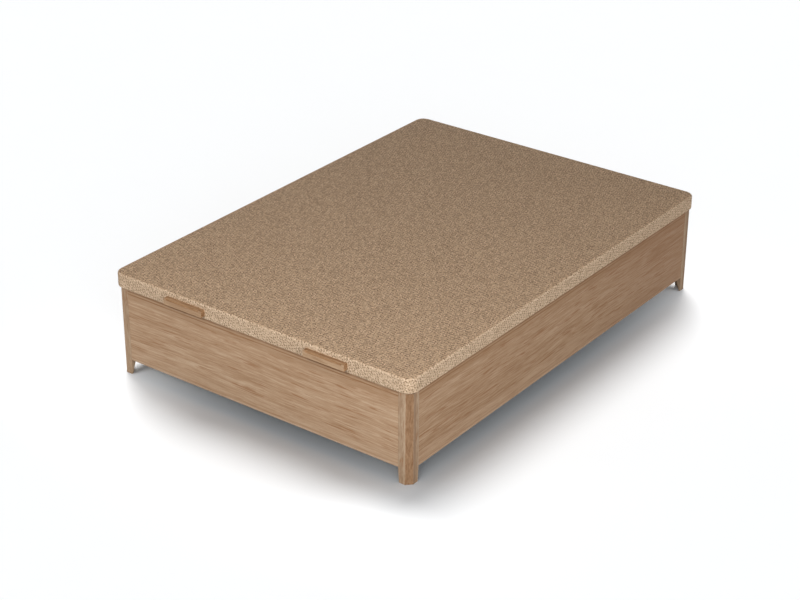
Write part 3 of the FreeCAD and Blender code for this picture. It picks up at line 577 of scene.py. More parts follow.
buffer_half, buffer_high, buffer_turn = 0.008, 0.0037, 0.004
buffer_rim, buffer_dip, buffer_ease = 0.003, 0.0006, 0.0008
low, high = (-buffer_half, -buffer_half, panel_top), (buffer_half, buffer_half, panel_top + buffer_high)
pad = block("buffer", low, high)
rounded(pad, buffer_turn, 5, upright_at(buffer_half, buffer_half))
pick(pad, "FACE", facing(z=1))
bpy.ops.mesh.inset(thickness=buffer_rim)
bpy.ops.transform.translate(value=(0, 0, -buffer_dip))
outward(pad)
soften(pad, buffer_ease, 3, 30)
side_line, foot_line = box_x - panel_thick / 2, panel_thick / 2 - box_y
side_shares, foot_shares = (-0.7, 0, 0.7), (-0.6, 0.6)
spots = [(side * side_line, box_y * share, 0) for side in (-1, 1) for share in side_shares]
spots += [(box_x * share, foot_line, 0) for share in foot_shares]
pads = set_out("buffer_pads", pad, [(spot, (0, 0, 0)) for spot in spots])
rubber = grained("dark_rubber", paint(44, 43, 42), paint(60, 58, 56), 0.80)
dress(pads, "base", "buffer_rubber", [rubber], "lid_buffers")


# Lid frame. Square steel tube in grey powder paint, bent to two U shapes that meet half way, with three
# bars welded across, and a thin board laid on the tubes. The cover closes all of it in.
frame_paint = grained("grey_powder_paint", paint(104, 105, 106), paint(126, 127, 128), 0.50)
coat(frame_paint, "lid_frame_foot", "lid_frame_head")
coat(frame_paint, "lid_crossbar_foot", "lid_crossbar_middle", "lid_crossbar_head")
lid_board = hardboard("brown_hardboard", paint(140, 106, 74), paint(164, 130, 96), paint(104, 76, 50))
coat(lid_board, "lid_board")


# Lid cover. Beige melange cloth pulled over the padded board, sewn along the top edge to a border strip
# that runs round the lid, and turned in under the frame. Light and dark yarns lie in a slanting order.
# Cover and foam are one soft body: flat on top, eased down a little towards the rim.
def wave(tree, value, pitch):
    return sums(tree, "SINE", sums(tree, "MULTIPLY", value, math.tau / pitch))


def woven(name, yarns, gap, pitch, share):
    thread = 0.0018
    material, tree, shader = finish(name, 0.92, specular=0.05)
    shader.inputs["Sheen Weight"].default_value = 0.02
    shader.inputs["Sheen Roughness"].default_value = 0.5
    spot = add(tree, "ShaderNodeUVMap", uv_map="weave").outputs[0]
    axes = add(tree, "ShaderNodeSeparateXYZ", {0: spot}).outputs
    drift = add(tree, "ShaderNodeTexNoise", {"Vector": spot, "Scale": 45.0, "Detail": 1.0}).outputs["Color"]
    drifts = add(tree, "ShaderNodeSeparateColor", {0: drift}).outputs
    turns = []
    for operation, way in (("ADD", drifts[0]), ("SUBTRACT", drifts[1])):
        lattice = sums(tree, "DIVIDE", sums(tree, operation, axes[0], axes[1]), pitch)
        turns.append(sums(tree, "MULTIPLY_ADD", way, 1.2, lattice))
    cells = {place: sums(tree, "FLOOR", turn) for place, turn in enumerate(turns)}
    cell = add(tree, "ShaderNodeCombineXYZ", cells).outputs[0]
    chances = add(tree, "ShaderNodeTexWhiteNoise", {"Vector": cell}, noise_dimensions="2D").outputs["Color"]
    chance, other = add(tree, "ShaderNodeSeparateColor", {0: chances}).outputs[:2]
    squares = []
    for turn in turns:
        off_middle = sums(tree, "SUBTRACT", sums(tree, "FRACT", turn), 0.5)
        squares.append(sums(tree, "MULTIPLY", off_middle, off_middle))
    edge = sums(tree, "SQRT", sums(tree, "ADD", *squares))
    ranks = []
    for step, luck in ((0.4, other), (0.6, chance)):
        fifth = sums(tree, "MULTIPLY_ADD", cells[0], 0.2, sums(tree, "MULTIPLY_ADD", cells[1], step, 0.1))
        ranks.append(blended(tree, (luck, 0.4), (sums(tree, "FRACT", fifth), 0.6)))
    picked = spread(tree, ranks[0], share - 0.10, share + 0.10, 1.0, 0.0)
    dark_yarn = sums(tree, "MULTIPLY", spread(tree, edge, 0.30, 0.58, 1.0, 0.0), picked)
    blend = noise(tree, spot, 190.0, 2.0, 0.6)
    speck = blended(tree, (blend, 0.25), (ranks[1], 0.75))
    crossing = sums(tree, "MULTIPLY", wave(tree, axes[0], thread), wave(tree, axes[1], thread))
    crossing = sums(tree, "MULTIPLY_ADD", blend, 1.2, crossing)
    # Painted shade: the colour darkens towards the gap colour at the rim of each yarn knob and where the
    # crossing pattern runs low, between and under the yarns. The dark yarns picked at random are the cloth's
    # own.
    between = spread(tree, edge, 0.42, 0.68, 0.0, 0.34)
    under = spread(tree, crossing, -0.2, 1.2, 0.30, 0.0)
    colour = ramped(tree, speck, yarns)
    for shadow in (dark_yarn, between, under):
        colour = tint(tree, shadow, colour, gap)
    coloured(tree, shader, colour)
    bumped(tree, shader, blended(tree, (blend, 1.0), (edge, -1.6), (crossing, 0.5)), 0.4, 0.0010)
    return material


def rim(level):
    def on_rim(middle, edge):
        flat = [abs(face.normal.z) > 0.9 for face in edge.link_faces]
        return near(middle.z, level) and any(flat) and not all(flat)

    return on_rim


def along_border(spot):
    ahead, beside, run = spot.x, -spot.y, 0.0
    straight, reach = lid_y - lid_corner, lid_x - lid_corner
    for _ in range(4):
        if ahead >= reach and beside >= -straight:
            break
        run += 2 * straight + lid_corner * math.pi / 2
        ahead, beside, straight, reach = beside, -ahead, reach, straight
    corner = max(0.0, beside - straight)
    turned_by = math.atan2(corner, max(1e-9, ahead - reach))
    return run + straight + min(beside, straight) + lid_corner * turned_by


lid_x, lid_y, lid_bottom, lid_top = 0.675, 0.950, 0.358, 0.417
lid_corner, top_round, under_round = 0.042, 0.009, 0.004
hem, recess = 0.0455, 0.0030
ease_reach, ease_drop = 0.18, 0.0022
ease_lines = 0.012, 0.030, 0.060, 0.110, 0.180, 0.300, 0.480

cover = block("lid_cover_cloth", (-lid_x, -lid_y, lid_bottom), (lid_x, lid_y, lid_top))
rounded(cover, lid_corner, 16, upright_at(lid_x, lid_y))
rounded(cover, top_round, 6, rim(lid_top))
rounded(cover, under_round, 3, rim(lid_bottom))
pick(cover, "FACE", facing(z=-1, limit=0.99))
bpy.ops.mesh.inset(thickness=hem - under_round, use_boundary=True)
extrude(0, 0, recess)
for inset in ease_lines:
    for axis, half in ((0, lid_x), (1, lid_y)):
        for side in (-1, 1):
            cut_across(cover, axis, side * (half - inset))
outward(cover)
for corner in cover.data.vertices:
    if corner.co.z > lid_top - top_round - touch:
        reach = min(lid_x - abs(corner.co.x), lid_y - abs(corner.co.y))
        ease = max(0.0, 1 - reach / ease_reach)
        corner.co.z -= ease_drop * ease * ease
even_faces(cover, 50)
cover.data.uv_layers.new(name="weave")
weave = cover.data.uv_layers["weave"].data
border_girth = 4 * (lid_x + lid_y - 2 * lid_corner) + math.tau * lid_corner
for face in cover.data.polygons:
    flat = abs(face.normal.z) > 0.8
    middle = along_border(face.center)
    for loop in face.loop_indices:
        place = cover.data.vertices[cover.data.loops[loop].vertex_index].co
        run = along_border(place)
        run += border_girth * round((middle - run) / border_girth)
        weave[loop].uv = place[:2] if flat else (run, place.z)
border_yarns = [
    (0.20, paint(182, 154, 126)),
    (0.42, paint(211, 184, 155)),
    (0.62, paint(221, 194, 165)),
    (0.80, paint(237, 212, 184)),
]
# The top's yarns and gaps are darker and warmer than the border's: painted shade, for a top that takes less
# light than the sides.
shaded_top_yarns = [
    (0.20, paint(164, 135, 107)),
    (0.42, paint(203, 171, 139)),
    (0.62, paint(214, 182, 149)),
    (0.80, paint(238, 207, 175)),
]
border_cloth = woven("beige_border_cloth", border_yarns, paint(121, 97, 73), 0.0066, 0.33)
shaded_top_cloth = woven("beige_top_cloth_painted_shade", shaded_top_yarns, paint(90, 68, 48), 0.0068, 0.34)
dress(cover, "lid", "cover_fabric", [border_cloth, shaded_top_cloth], "lid_cover", "lid_padding")
# Faces that look up take the darker top cloth, as painted shade.
for face in cover.data.polygons:
    face.material_index = int(face.normal.z > 0.8)


# Lining. One sheet of dark spun-bonded cloth that closes the lid from below, stretched over the frame
# inside the turned-in edge of the cover. It is hemmed all round, and lies in faint ripples.
def spun_bonded(name, dark, light, thread, half_x, half_y):
    dot_pitch, stitch_line, stitch_pitch = 0.0042, 0.012, 0.004
    material, tree, shader = finish(name, 0.88, specular=0.15)
    spot = object_spot(tree)
    axes = add(tree, "ShaderNodeSeparateXYZ", {0: spot}).outputs
    rise, fall = (sums(tree, operation, axes[0], axes[1]) for operation in ("ADD", "SUBTRACT"))
    dots = sums(tree, "MULTIPLY", wave(tree, rise, dot_pitch), wave(tree, fall, dot_pitch))
    dots = spread(tree, dots, 0.35, 0.8)
    fibres = noise(tree, spot, 620.0, 4.0, 0.7)
    blend = blended(tree, (fibres, 1.0), (noise(tree, spot, 6.0), 0.3), (dots, -0.3))
    colour = tint(tree, spread(tree, blend, 0.3, 0.85), dark, light)
    insides = []
    for half, axis in ((half_x, axes[0]), (half_y, axes[1])):
        insides.append(sums(tree, "SUBTRACT", half, sums(tree, "ABSOLUTE", axis)))
    line = sums(tree, "ABSOLUTE", sums(tree, "SUBTRACT", sums(tree, "MINIMUM", *insides), stitch_line))
    step = sums(tree, "PINGPONG", rise, stitch_pitch)
    on_line, on_thread = spread(tree, line, 0.0005, 0.0009, 1.0, 0.0), spread(tree, step, 0.0009, 0.0013)
    stitch = sums(tree, "MULTIPLY", on_line, on_thread)
    coloured(tree, shader, tint(tree, stitch, colour, thread))
    bumped(tree, shader, blended(tree, (dots, -0.6), (stitch, 1.0)), 0.35, 0.0004)
    return material


def rippled(ahead, beside, count, sway, sway_count):
    return math.sin(count * ahead + sway * math.sin(sway_count * beside))


lining_x, lining_y, lining_level, lining_corner = 0.6297, 0.9047, 0.3593, 0.0197
lining_thick, lining_ripple, lining_calm = 0.0006, 0.00045, 0.10
alone(None)
bpy.ops.mesh.primitive_plane_add(size=1, location=(0, 0, lining_level))
bpy.context.object.scale = (lining_x * 2, lining_y * 2, 1)
lining = name_piece("lid_lining_cloth")
pick_all(lining, "VERT")
bpy.ops.mesh.bevel(offset=lining_corner, segments=6, affect="VERTICES", offset_type="OFFSET")
for axis, half, count in ((0, lining_x, 26), (1, lining_y, 36)):
    for step in range(1, count):
        cut_across(lining, axis, half * (2 * step / count - 1))
outward(lining)
for corner in lining.data.vertices:
    x, y = corner.co.x, corner.co.y
    inside = min(1.0, min(lining_x - abs(x), lining_y - abs(y)) / lining_calm)
    ripple = rippled(x, y, 9.1, 2.3, 3.7) + rippled(y, x, 7.3, 1.7, 4.1)
    corner.co.z += lining_ripple * inside * ripple
thicken = lining.modifiers.new("cloth", "SOLIDIFY")
thicken.thickness = lining_thick
thicken.offset = 0
bpy.ops.object.modifier_apply(modifier=thicken.name)
bpy.ops.object.shade_smooth_by_angle(angle=math.radians(60))
lining_shades = paint(58, 57, 56), paint(84, 82, 80), paint(122, 118, 112)
lining_cloth = spun_bonded("spun_bonded_cloth", *lining_shades, lining_x, lining_y)
dress(lining, "lid", "lining_fabric", [lining_cloth], "lid_lining")


# Pulls. Two blocks of oak screwed to the foot end of the lid, with a hollow scooped out of the upper
# front edge between two small ears, and a shallow cove underneath for the fingers.
def capsule(name, middle, radius, half_run):
    alone(None)
    bpy.ops.mesh.primitive_uv_sphere_add(segments=32, ring_count=16, radius=radius, location=(0, 0, 0))
    bpy.context.object.rotation_euler = (0, math.pi / 2, 0)
    piece = name_piece(name)
    for way, start in ((1, touch), (-1, -touch)):
        pick(piece, "VERT", lambda middle, vert: middle.x * way > start)
        bpy.ops.transform.translate(value=((half_run - radius) * way, 0, 0))
    alone(piece)
    piece.location = middle
    return name_piece(name)


def combined(piece, other, operation):
    alone(piece)
    meeting = piece.modifiers.new("meeting", "BOOLEAN")
    meeting.operation = operation
    meeting.solver = "EXACT"
    meeting.object = other
    bpy.ops.object.modifier_apply(modifier=meeting.name)
    bpy.data.objects.remove(other)


pull_half, pull_depth, pull_low, pull_high = 0.090, 0.019, 0.371, 0.396
pull_middle, pull_ear, scoop, cove = 0.320, 0.010, 0.007, 0.0035
pull_turn, pull_front_turn, pull_ease = 0.005, 0.003, 0.0007
pull_start, pull_stop, front = pull_middle - pull_half, pull_middle + pull_half, -lid_y - pull_depth


def at_upper_end(middle, edge):
    return near(middle.x, pull_start, pull_stop) and near(middle.z, pull_high)


def at_front_end(middle, edge):
    upright = edge.calc_length() > (pull_high - pull_low) / 2
    return upright and near(middle.x, pull_start, pull_stop) and near(middle.y, front)


pull = block("pull_right", (pull_start, front, pull_low), (pull_stop, -lid_y, pull_high))
rounded(pull, pull_turn, 6, at_upper_end)
rounded(pull, pull_front_turn, 4, at_front_end)
outward(pull)
above = (pull_middle, front, pull_high)
below = (pull_middle, -lid_y - pull_depth / 2, pull_low - scoop + cove)
for name, place in (("scoop", above), ("cove", below)):
    combined(pull, capsule(name, place, scoop, pull_half - pull_ear), "DIFFERENCE")
outward(pull)
soften(pull, pull_ease, angle=30)
pull_tones = paint(162, 130, 101), paint(173, 142, 112), paint(184, 154, 124), paint(152, 118, 88)
# The darker oak is end grain on the pulls' ends, and painted shade on their top and in the scooped hollow.
hollow_shade_tones = paint(126, 92, 62), paint(154, 119, 86), paint(174, 139, 106), paint(114, 81, 52)
pull_oak = oak("oak_pull", "X", pull_tones, 9.4)
hollow_shade_and_end_grain_oak = oak("oak_pull_end_grain_and_painted_shade", "X", hollow_shade_tones, 2.6)
for node, piece in (("handle_right", pull), ("handle_left", mirrored(pull, "pull_left", x=-1))):
    dress(piece, "lid", "handle_oak", [pull_oak, hollow_shade_and_end_grain_oak], node)
    # Faces that look up take the darker oak as painted shade, and the ends take it as end grain.
    for face in piece.data.polygons:
        upward, endways = face.normal.z > 0.25, abs(face.normal.x) > 0.75
        face.material_index = int(upward or endways)


# Hinges. Leaves of zinc-plated steel rolled round a steel pin behind the head panel, so that the lid
# swings up. Each base leaf has two knuckles, and the lid leaf's single knuckle turns between them.
hinge_x, hinge_half, hinge_y, hinge_z = 0.420, 0.045, 0.945, 0.354
knuckle, knuckle_half, knuckle_gap = 0.004, 0.0165, 0.0005
leaf_wide, leaf_thick, leaf_turn, leaf_ease = 0.034, 0.002, 0.005, 0.0002
roll_wall, roll_turn, roll_steps = 0.00145, math.radians(300), 24
pin_radius, pin_dome = 0.0025, 0.0006
room = knuckle + knuckle_gap
hinge_places = [((hinge_x * side, 0, 0), (0, 0, 0)) for side in (1, -1)]


def leaf(name, low, high, along, seat, inward, two_knuckles):
    through = 3 - along

    def at_free_corner(middle, edge):
        return near(abs(middle.x), hinge_half) and near(middle[along], low[along])

    def at_knuckle(middle, face):
        return face.normal[along] > 0.9 and (abs(middle.x) > knuckle_half) == two_knuckles

    def at_roll(middle, face):
        at_tip = face.normal[along] > 0.9 and near(middle[along], high[along] + room)
        return at_tip and abs(middle[through] - seat) < roll_wall

    piece = block(name, low, high)
    rounded(piece, leaf_turn, 5, at_free_corner)
    for side in (-1, 1):
        cut_across(piece, 0, side * (knuckle_half + knuckle_gap * two_knuckles))
    pick(piece, "FACE", at_knuckle)
    extrude(*(room if axis == along else 0 for axis in range(3)))
    outward(piece)
    cut_across(piece, through, seat + roll_wall * inward)
    pick(piece, "FACE", at_roll)
    bpy.ops.mesh.spin(steps=roll_steps, angle=roll_turn, center=(0, hinge_y, hinge_z), axis=(1, 0, 0))
    outward(piece)
    soften(piece, leaf_ease)
    return piece


def turned(name, section, steps=32):
    alone(None)
    bpy.ops.mesh.primitive_plane_add(size=0.001, location=(0, 0, 0))
    piece = name_piece(name)
    pick_all(piece, "VERT")
    bpy.ops.mesh.merge(type="CENTER")
    bpy.ops.transform.translate(value=(section[0][0], 0, section[0][1]))
    for (radius, height), (next_radius, next_height) in zip(section, section[1:]):
        extrude(next_radius - radius, 0, next_height - height)
    pick_all(piece, "VERT")
    bpy.ops.mesh.spin(steps=steps, angle=math.tau, center=(0, 0, 0), axis=(0, 0, 1))
    outward(piece)
    return piece


low, high = (-hinge_half, box_y, hinge_z - leaf_wide), (hinge_half, box_y + leaf_thick, hinge_z - room)
base_leaf = leaf("base_leaf", low, high, 2, box_y, 1, True)
low = (-hinge_half, hinge_y - leaf_wide, lid_bottom - leaf_thick)
lid_leaf = leaf("lid_leaf", low, (hinge_half, hinge_y - room, lid_bottom), 1, lid_bottom, -1, False)
pin_section = [
    (0, -hinge_half),
    (pin_radius - pin_dome, -hinge_half),
    (pin_radius, pin_dome - hinge_half),
    (pin_radius, hinge_half - pin_dome),
    (pin_radius - pin_dome, hinge_half),
    (0, hinge_half),
]
pin = turned("hinge_pin", pin_section, 24)
pin.rotation_euler = (0, math.pi / 2, 0)
pin.location = (0, hinge_y, hinge_z)
pin = name_piece("hinge_pin")
soften(pin, leaf_ease, angle=30)
pin_steel = plated("bright_pin_steel", paint(176, 177, 180), 0.22, 0.34, 900.0)
for node, name, body, piece, steel in (
    ("hinge_base_leaves", "base_leaf_pair", "base", base_leaf, zinc),
    ("hinge_lid_leaves", "lid_leaf_pair", "lid", lid_leaf, zinc),
    ("hinge_pins", "hinge_pin_pair", "base", pin, pin_steel),
):
    dress(set_out(name, piece, hinge_places), body, "hinge_steel", [steel], node)


# Strut brackets. Zinc-plated plates on the side panels and folded angles under the lid, each with a
# shouldered stud for the end of a gas spring and a lock nut that keeps it there.
strut_x, base_pivot, lid_pivot = 0.622, (0.829, 0.121), (0.68592, 0.329054)
plate_thick, plate_turn, plate_ease = 0.003, 0.008, 0.0004
plate_half, plate_low, plate_high = 0.022, 0.103, 0.163
web_x, web_half, web_drop, web_turn = 0.637, 0.030, 0.013, 0.012
flange_x, flange_turn, fold_turn = 0.606, 0.006, 0.0035
collar_radius, stud_radius, stud_tip, stud_ease = 0.008, 0.005, 0.0042, 0.0005
eye_room, nut_radius, nut_high, nut_rim, nut_dip = 0.0106, 0.009, 0.005, 0.0016, 0.0012

low = (inner_x - plate_thick, base_pivot[0] - plate_half, plate_low)
plate = block("strut_plate_right", low, (inner_x, base_pivot[0] + plate_half, plate_high))
rounded(plate, plate_turn, 7, lambda middle, edge: near(middle.x, inner_x - plate_thick / 2))
outward(plate)
soften(plate, plate_ease)
plates = plate, mirrored(plate, "strut_plate_left", x=-1)

web_low, web_start, web_stop = lid_pivot[1] - web_drop, lid_pivot[0] - web_half, lid_pivot[0] + web_half
angle = block("strut_angle_right", (web_x - plate_thick, web_start, web_low), (web_x, web_stop, lid_bottom))
web_ends = web_start, web_stop
rounded(angle, web_turn, 8, lambda middle, edge: near(middle.z, web_low) and near(middle.y, *web_ends))
cut_across(angle, 2, lid_bottom - plate_thick)
pick(angle, "FACE", lambda middle, face: face.normal.x < -0.9 and middle.z > lid_bottom - plate_thick)
extrude(flange_x + plate_thick - web_x, 0, 0)
outward(angle)
rounded(angle, fold_turn, 4, lambda middle, edge: near(middle.x, web_x) and near(middle.z, lid_bottom))
rounded(angle, flange_turn, 5, lambda middle, edge: near(middle.x, flange_x) and near(middle.y, *web_ends))
outward(angle)
soften(angle, plate_ease)
angles = angle, mirrored(angle, "strut_angle_left", x=-1)
for part, body, both in (("strut_base_bracket", "base", plates), ("strut_lid_bracket", "lid", angles)):
    for side, piece in zip(("right", "left"), both):
        dress(piece, body, "bracket_steel", [zinc], f"{part}_{side}")


def hexagon(name, radius, depth, level):
    alone(None)
    bpy.ops.mesh.primitive_cylinder_add(vertices=6, radius=radius, depth=depth, location=(0, 0, level))
    return name_piece(name)


def stud(name, collar, spot):
    nut_level = collar + eye_room
    tip = nut_level + stud_tip
    collar_section = [(0, 0), (collar_radius, 0), (collar_radius, collar)]
    shank = turned(name, collar_section + [(stud_radius, collar), (stud_radius, tip), (0, tip)])
    soften(shank, stud_ease)
    nut = hexagon("lock_nut", nut_radius, nut_high, nut_level + nut_high / 2)
    pick(nut, "FACE", facing(z=1))
    for thickness in (nut_rim, nut_dip):
        bpy.ops.mesh.inset(thickness=thickness)
        extrude(0, 0, -nut_dip)
    outward(nut)
    soften(nut, stud_ease, angle=35)
    both = gathered(name, [shank, nut])
    both.rotation_euler = (0, -math.pi / 2, 0)
    both.location = spot
    return name_piece(name)


stud_steel = plated("stud_steel", paint(186, 186, 188), 0.24, 0.40, 700.0)
for node, name, body, seat, pivot in (
    ("strut_base_studs", "base_stud_pair", "base", inner_x - plate_thick, base_pivot),
    ("strut_lid_studs", "lid_stud_pair", "lid", web_x - plate_thick, lid_pivot),
):
    right_stud = stud(name, seat - strut_x - eye_room / 2, (seat, *pivot))
    both = gathered(name, [right_stud, mirrored(right_stud, "left_stud", x=-1)])
    dress(both, body, "screw_steel", [stud_steel], node)


# Gas springs. A black painted cylinder hangs from the lid, and its chromed rod stands on the box. Each
# ends in a steel eye on its stud. They are turned upright, and then tilted onto the line of the pivots.
def satin(name, dark, light):
    material, tree, shader = finish(name)
    spot = object_spot(tree)
    dust = spread(tree, noise(tree, spot, 26.0, 4.0, 0.65), 0.35, 0.75)
    coloured(tree, shader, tint(tree, dust, dark, light), spread(tree, dust, 0.0, 1.0, 0.26, 0.42))
    bumped(tree, shader, noise(tree, spot, 260.0), 0.10, 0.0003)
    return material


def polished(name, shade, tilt):
    material, tree, shader = finish(name, metallic=1.0)
    turn = {"Vector": object_spot(tree), "Rotation": (-tilt, 0, 0)}
    rings = drawn_noise(tree, add(tree, "ShaderNodeMapping", turn).outputs[0], (30, 30, 2600), 3.0)
    colour = tint(tree, spread(tree, rings, 0.35, 0.65), dimmed(shade, 0.86), shade)
    coloured(tree, shader, colour, spread(tree, rings, 0.3, 0.7, 0.16, 0.07))
    bumped(tree, shader, rings, 0.05, 0.0001)
    return material


def leaned(piece, name, pivot):
    alone(piece)
    piece.rotation_euler = (strut_tilt, 0, 0)
    piece.location = (strut_x, *pivot)
    return name_piece(name)


def eye(name, way, pivot):
    outline = [(eye_bore, -1), (eye_radius, -1), (eye_radius, 1), (eye_bore, 1), (eye_bore, -1)]
    ring = turned(name, [(radius, eye_half * side) for radius, side in outline], 40)
    ring.rotation_euler = (0, math.pi / 2, 0)
    ring = name_piece(name)
    start, stop = sorted((neck_start * way, neck_end * way))
    neck = block("eye_neck", (-neck_half, -neck_half, start), (neck_half, neck_half, stop))
    rounded(neck, neck_turn, 3, lambda middle, edge: near(middle.z, (start + stop) / 2))
    alone(neck)
    combined(ring, neck, "UNION")
    outward(ring)
    soften(ring, eye_ease)
    return leaned(ring, name, pivot)


eye_half, eye_bore, eye_radius, eye_ease = 0.005, 0.00505, 0.010, 0.0005
neck_half, neck_turn, neck_start, neck_end = 0.0046, 0.0015, 0.0075, 0.018
strut_over, strut_up = base_pivot[0] - lid_pivot[0], lid_pivot[1] - base_pivot[1]
strut_length, strut_tilt = math.hypot(strut_over, strut_up), math.atan2(strut_over, strut_up)
shell, shell_wall, shell_cap, strut_ease = 0.011, 0.0015, 0.003, 0.0002
rod_radius, rod_turn, slide_gap, gland_long = 0.005, 0.0005, 0.00005, 0.012
groove, piston_long, piston_gap = 0.0008, 0.008, 0.0001
mouth = neck_end + shell_cap - strut_length
cylinder_section = [
    (0, -neck_end),
    (shell - 0.0020, -neck_end),
    (shell - 0.0006, -neck_end - 0.0006),
    (shell, -neck_end - 0.0020),
    (shell, mouth + 0.0130),
    (shell - groove, mouth + 0.0118),
    (shell - groove, mouth + 0.0102),
    (shell, mouth + 0.0090),
    (shell, mouth + 0.0020),
    (shell - 0.0007, mouth + 0.0006),
    (shell - 0.0022, mouth),
    (rod_radius + slide_gap, mouth),
    (rod_radius + slide_gap, mouth + gland_long),
    (shell - shell_wall, mouth + gland_long),
    (shell - shell_wall, -neck_end - shell_cap),
    (0, -neck_end - shell_cap),
]
piston_top, piston = strut_length - neck_end - 2 * shell_cap, shell - shell_wall - piston_gap
rod_section = [
    (0, neck_end),
    (rod_radius - rod_turn, neck_end),
    (rod_radius, neck_end + rod_turn),
    (rod_radius, piston_top - piston_long),
    (piston, piston_top - piston_long),
    (piston, piston_top),
    (0, piston_top),
]
cylinder_paint = satin("black_satin_paint", paint(20, 20, 21), paint(36, 36, 37))
rod_chrome = polished("rod_chrome", paint(214, 216, 219), strut_tilt)
eye_steel = plated("eye_steel", paint(180, 181, 183), 0.28, 0.44, 640.0)
cylinder = leaned(turned("cylinder_right", cylinder_section, 48), "cylinder_right", lid_pivot)
rod = leaned(turned("rod_right", rod_section, 40), "rod_right", base_pivot)
for piece in (cylinder, rod):
    soften(piece, strut_ease)
cylinder_eye = eye("cylinder_end_right", -1, lid_pivot)
rod_eye = eye("rod_end_right", 1, base_pivot)
for piece, part, moving, slot, material in (
    (cylinder, "gas_cylinder", "cylinder", "cylinder_paint", cylinder_paint),
    (cylinder_eye, "cylinder_eye", "cylinder", "eye_steel", eye_steel),
    (rod, "gas_rod", "rod", "rod_chrome", rod_chrome),
    (rod_eye, "rod_eye", "rod", "eye_steel", eye_steel),
):
    left = mirrored(piece, piece.name.replace("right", "left"), x=-1)
    dress(piece, f"right_{moving}", slot, [material], f"{part}_right")
    dress(left, f"left_{moving}", slot, [material], f"{part}_left")


# Screws. Low hexagon heads with a six-sided socket, in zinc-plated steel, driven through the brackets,
# leaves and plates into the wood, and through the lid frame's foot tube into the pulls.
head_radius, head_high, socket_rim, socket_share = 0.0045, 0.0015, 0.0017, 0.7
shank_radius, tip_long, tip_share, screw_ease = 0.0022, 0.003, 0.2, 0.0003


def hex_screw(name, length):
    piece = hexagon(name, head_radius, head_high, -head_high / 2)
    pick(piece, "FACE", facing(z=-1))
    bpy.ops.mesh.inset(thickness=socket_rim)
    extrude(0, 0, head_high * socket_share)
    pick(piece, "FACE", lambda middle, face: face.normal.z > 0.9 and near(middle.z, 0))
    bpy.ops.mesh.inset(thickness=(head_radius - shank_radius) * math.cos(math.pi / 6))
    extrude(0, 0, length - tip_long)
    extrude(0, 0, tip_long)
    bpy.ops.transform.resize(value=(tip_share, tip_share, 1), center_override=(0, 0, length))
    outward(piece)
    soften(piece, screw_ease, 1, 35)
    return piece


bracket_holes = (0.048, 0.211), (0.013, 0.319)
cleat_hole, cleat_level = (cleat_leg + bracket_wall) / 2, (cleat_low + cleat_high) / 2
leaf_spread, leaf_hole, plate_spread, plate_level = 0.028, 0.021, 0.013, 0.154
flange_spread, flange_hole, pull_spread = 0.009, 0.620, 0.060
tube_face, pull_level = 0.9095, (pull_low + pull_high) / 2
bracket_face_x, bracket_face_y = inner_x - bracket_wall, inner_y - bracket_wall
base_places, lid_places, pull_places = [], [], []
for side in (-1, 1):
    sideways = (side, 0, 0)
    for end in (-1, 1):
        for reach, level in bracket_holes:
            base_places.append(((bracket_face_x * side, (inner_y - reach) * end, level), sideways))
            base_places.append((((inner_x - reach) * side, bracket_face_y * end, level), (0, end, 0)))
    base_places.append(((bracket_face_x * side, -beam_half - cleat_hole, cleat_level), sideways))
    base_places.append((((inner_x - cleat_hole) * side, -beam_half - bracket_wall, cleat_level), (0, 1, 0)))
    for edge in (-1, 1):
        plate_y, leaf_x = base_pivot[0] + plate_spread * edge, hinge_x * side + leaf_spread * edge
        flange_y, pull_x = lid_pivot[0] + flange_spread * edge, pull_middle * side + pull_spread * edge
        base_places.append((((inner_x - plate_thick) * side, plate_y, plate_level), sideways))
        base_places.append(((leaf_x, box_y + leaf_thick, hinge_z - leaf_hole), (0, -1, 0)))
        lid_places.append(((leaf_x, hinge_y - leaf_hole, lid_bottom - leaf_thick), (0, 0, 1)))
        lid_places.append(((flange_hole * side, flange_y, lid_bottom - plate_thick), (0, 0, 1)))
        pull_places.append(((pull_x, -tube_face, pull_level), (0, -1, 0)))
screw_steel = plated("screw_steel", paint(190, 190, 190), 0.26, 0.42, 800.0)
for node, name, body, length, places in (
    ("base_screws", "base_screw_set", "base", 0.020, base_places),
    ("lid_screws", "lid_screw_set", "lid", 0.020, lid_places),
    ("handle_screws", "pull_screw_set", "lid", 0.0525, pull_places),
):
    driven = [(spot, Vector(way).to_track_quat("Z", "Y").to_euler()) for spot, way in places]
    screws = set_out(name, hex_screw("screw_pattern", length), driven)
    dress(screws, body, "screw_steel", [screw_steel], node)


# Stage. A plain white floor under soft studio lamps. The floor has lamps of its own, three wide ones and
# three small ones where the bed's shadow ends, so that it stays white and keeps that shadow. The other
# lamps leave it out.
floor_wide, floor_drop = 60, 0.0005
paper_shades, paper_bounce = ((0.940, 0.960, 0.980, 1), (0.950, 0.970, 0.990, 1)), (0.40, 0.40, 0.40, 1)


def in_view(tree):
    rays = add(tree, "ShaderNodeLightPath").outputs
    mirrored_ray = sums(tree, "MAXIMUM", rays["Is Glossy Ray"], rays["Is Transmission Ray"])
    return sums(tree, "MAXIMUM", rays["Is Camera Ray"], mirrored_ray)


def lamp(name, kind, energy, place, aim, **settings):
    data = bpy.data.lights.new(name, kind)
    data.energy = energy
    for key, value in settings.items():
        setattr(data, key, value)
    piece = bpy.data.objects.new(name, data)
    bpy.context.scene.collection.objects.link(piece)
    piece.location = place
    piece.rotation_euler = (Vector(aim) - Vector(place)).to_track_quat("-Z", "Y").to_euler()
    return piece


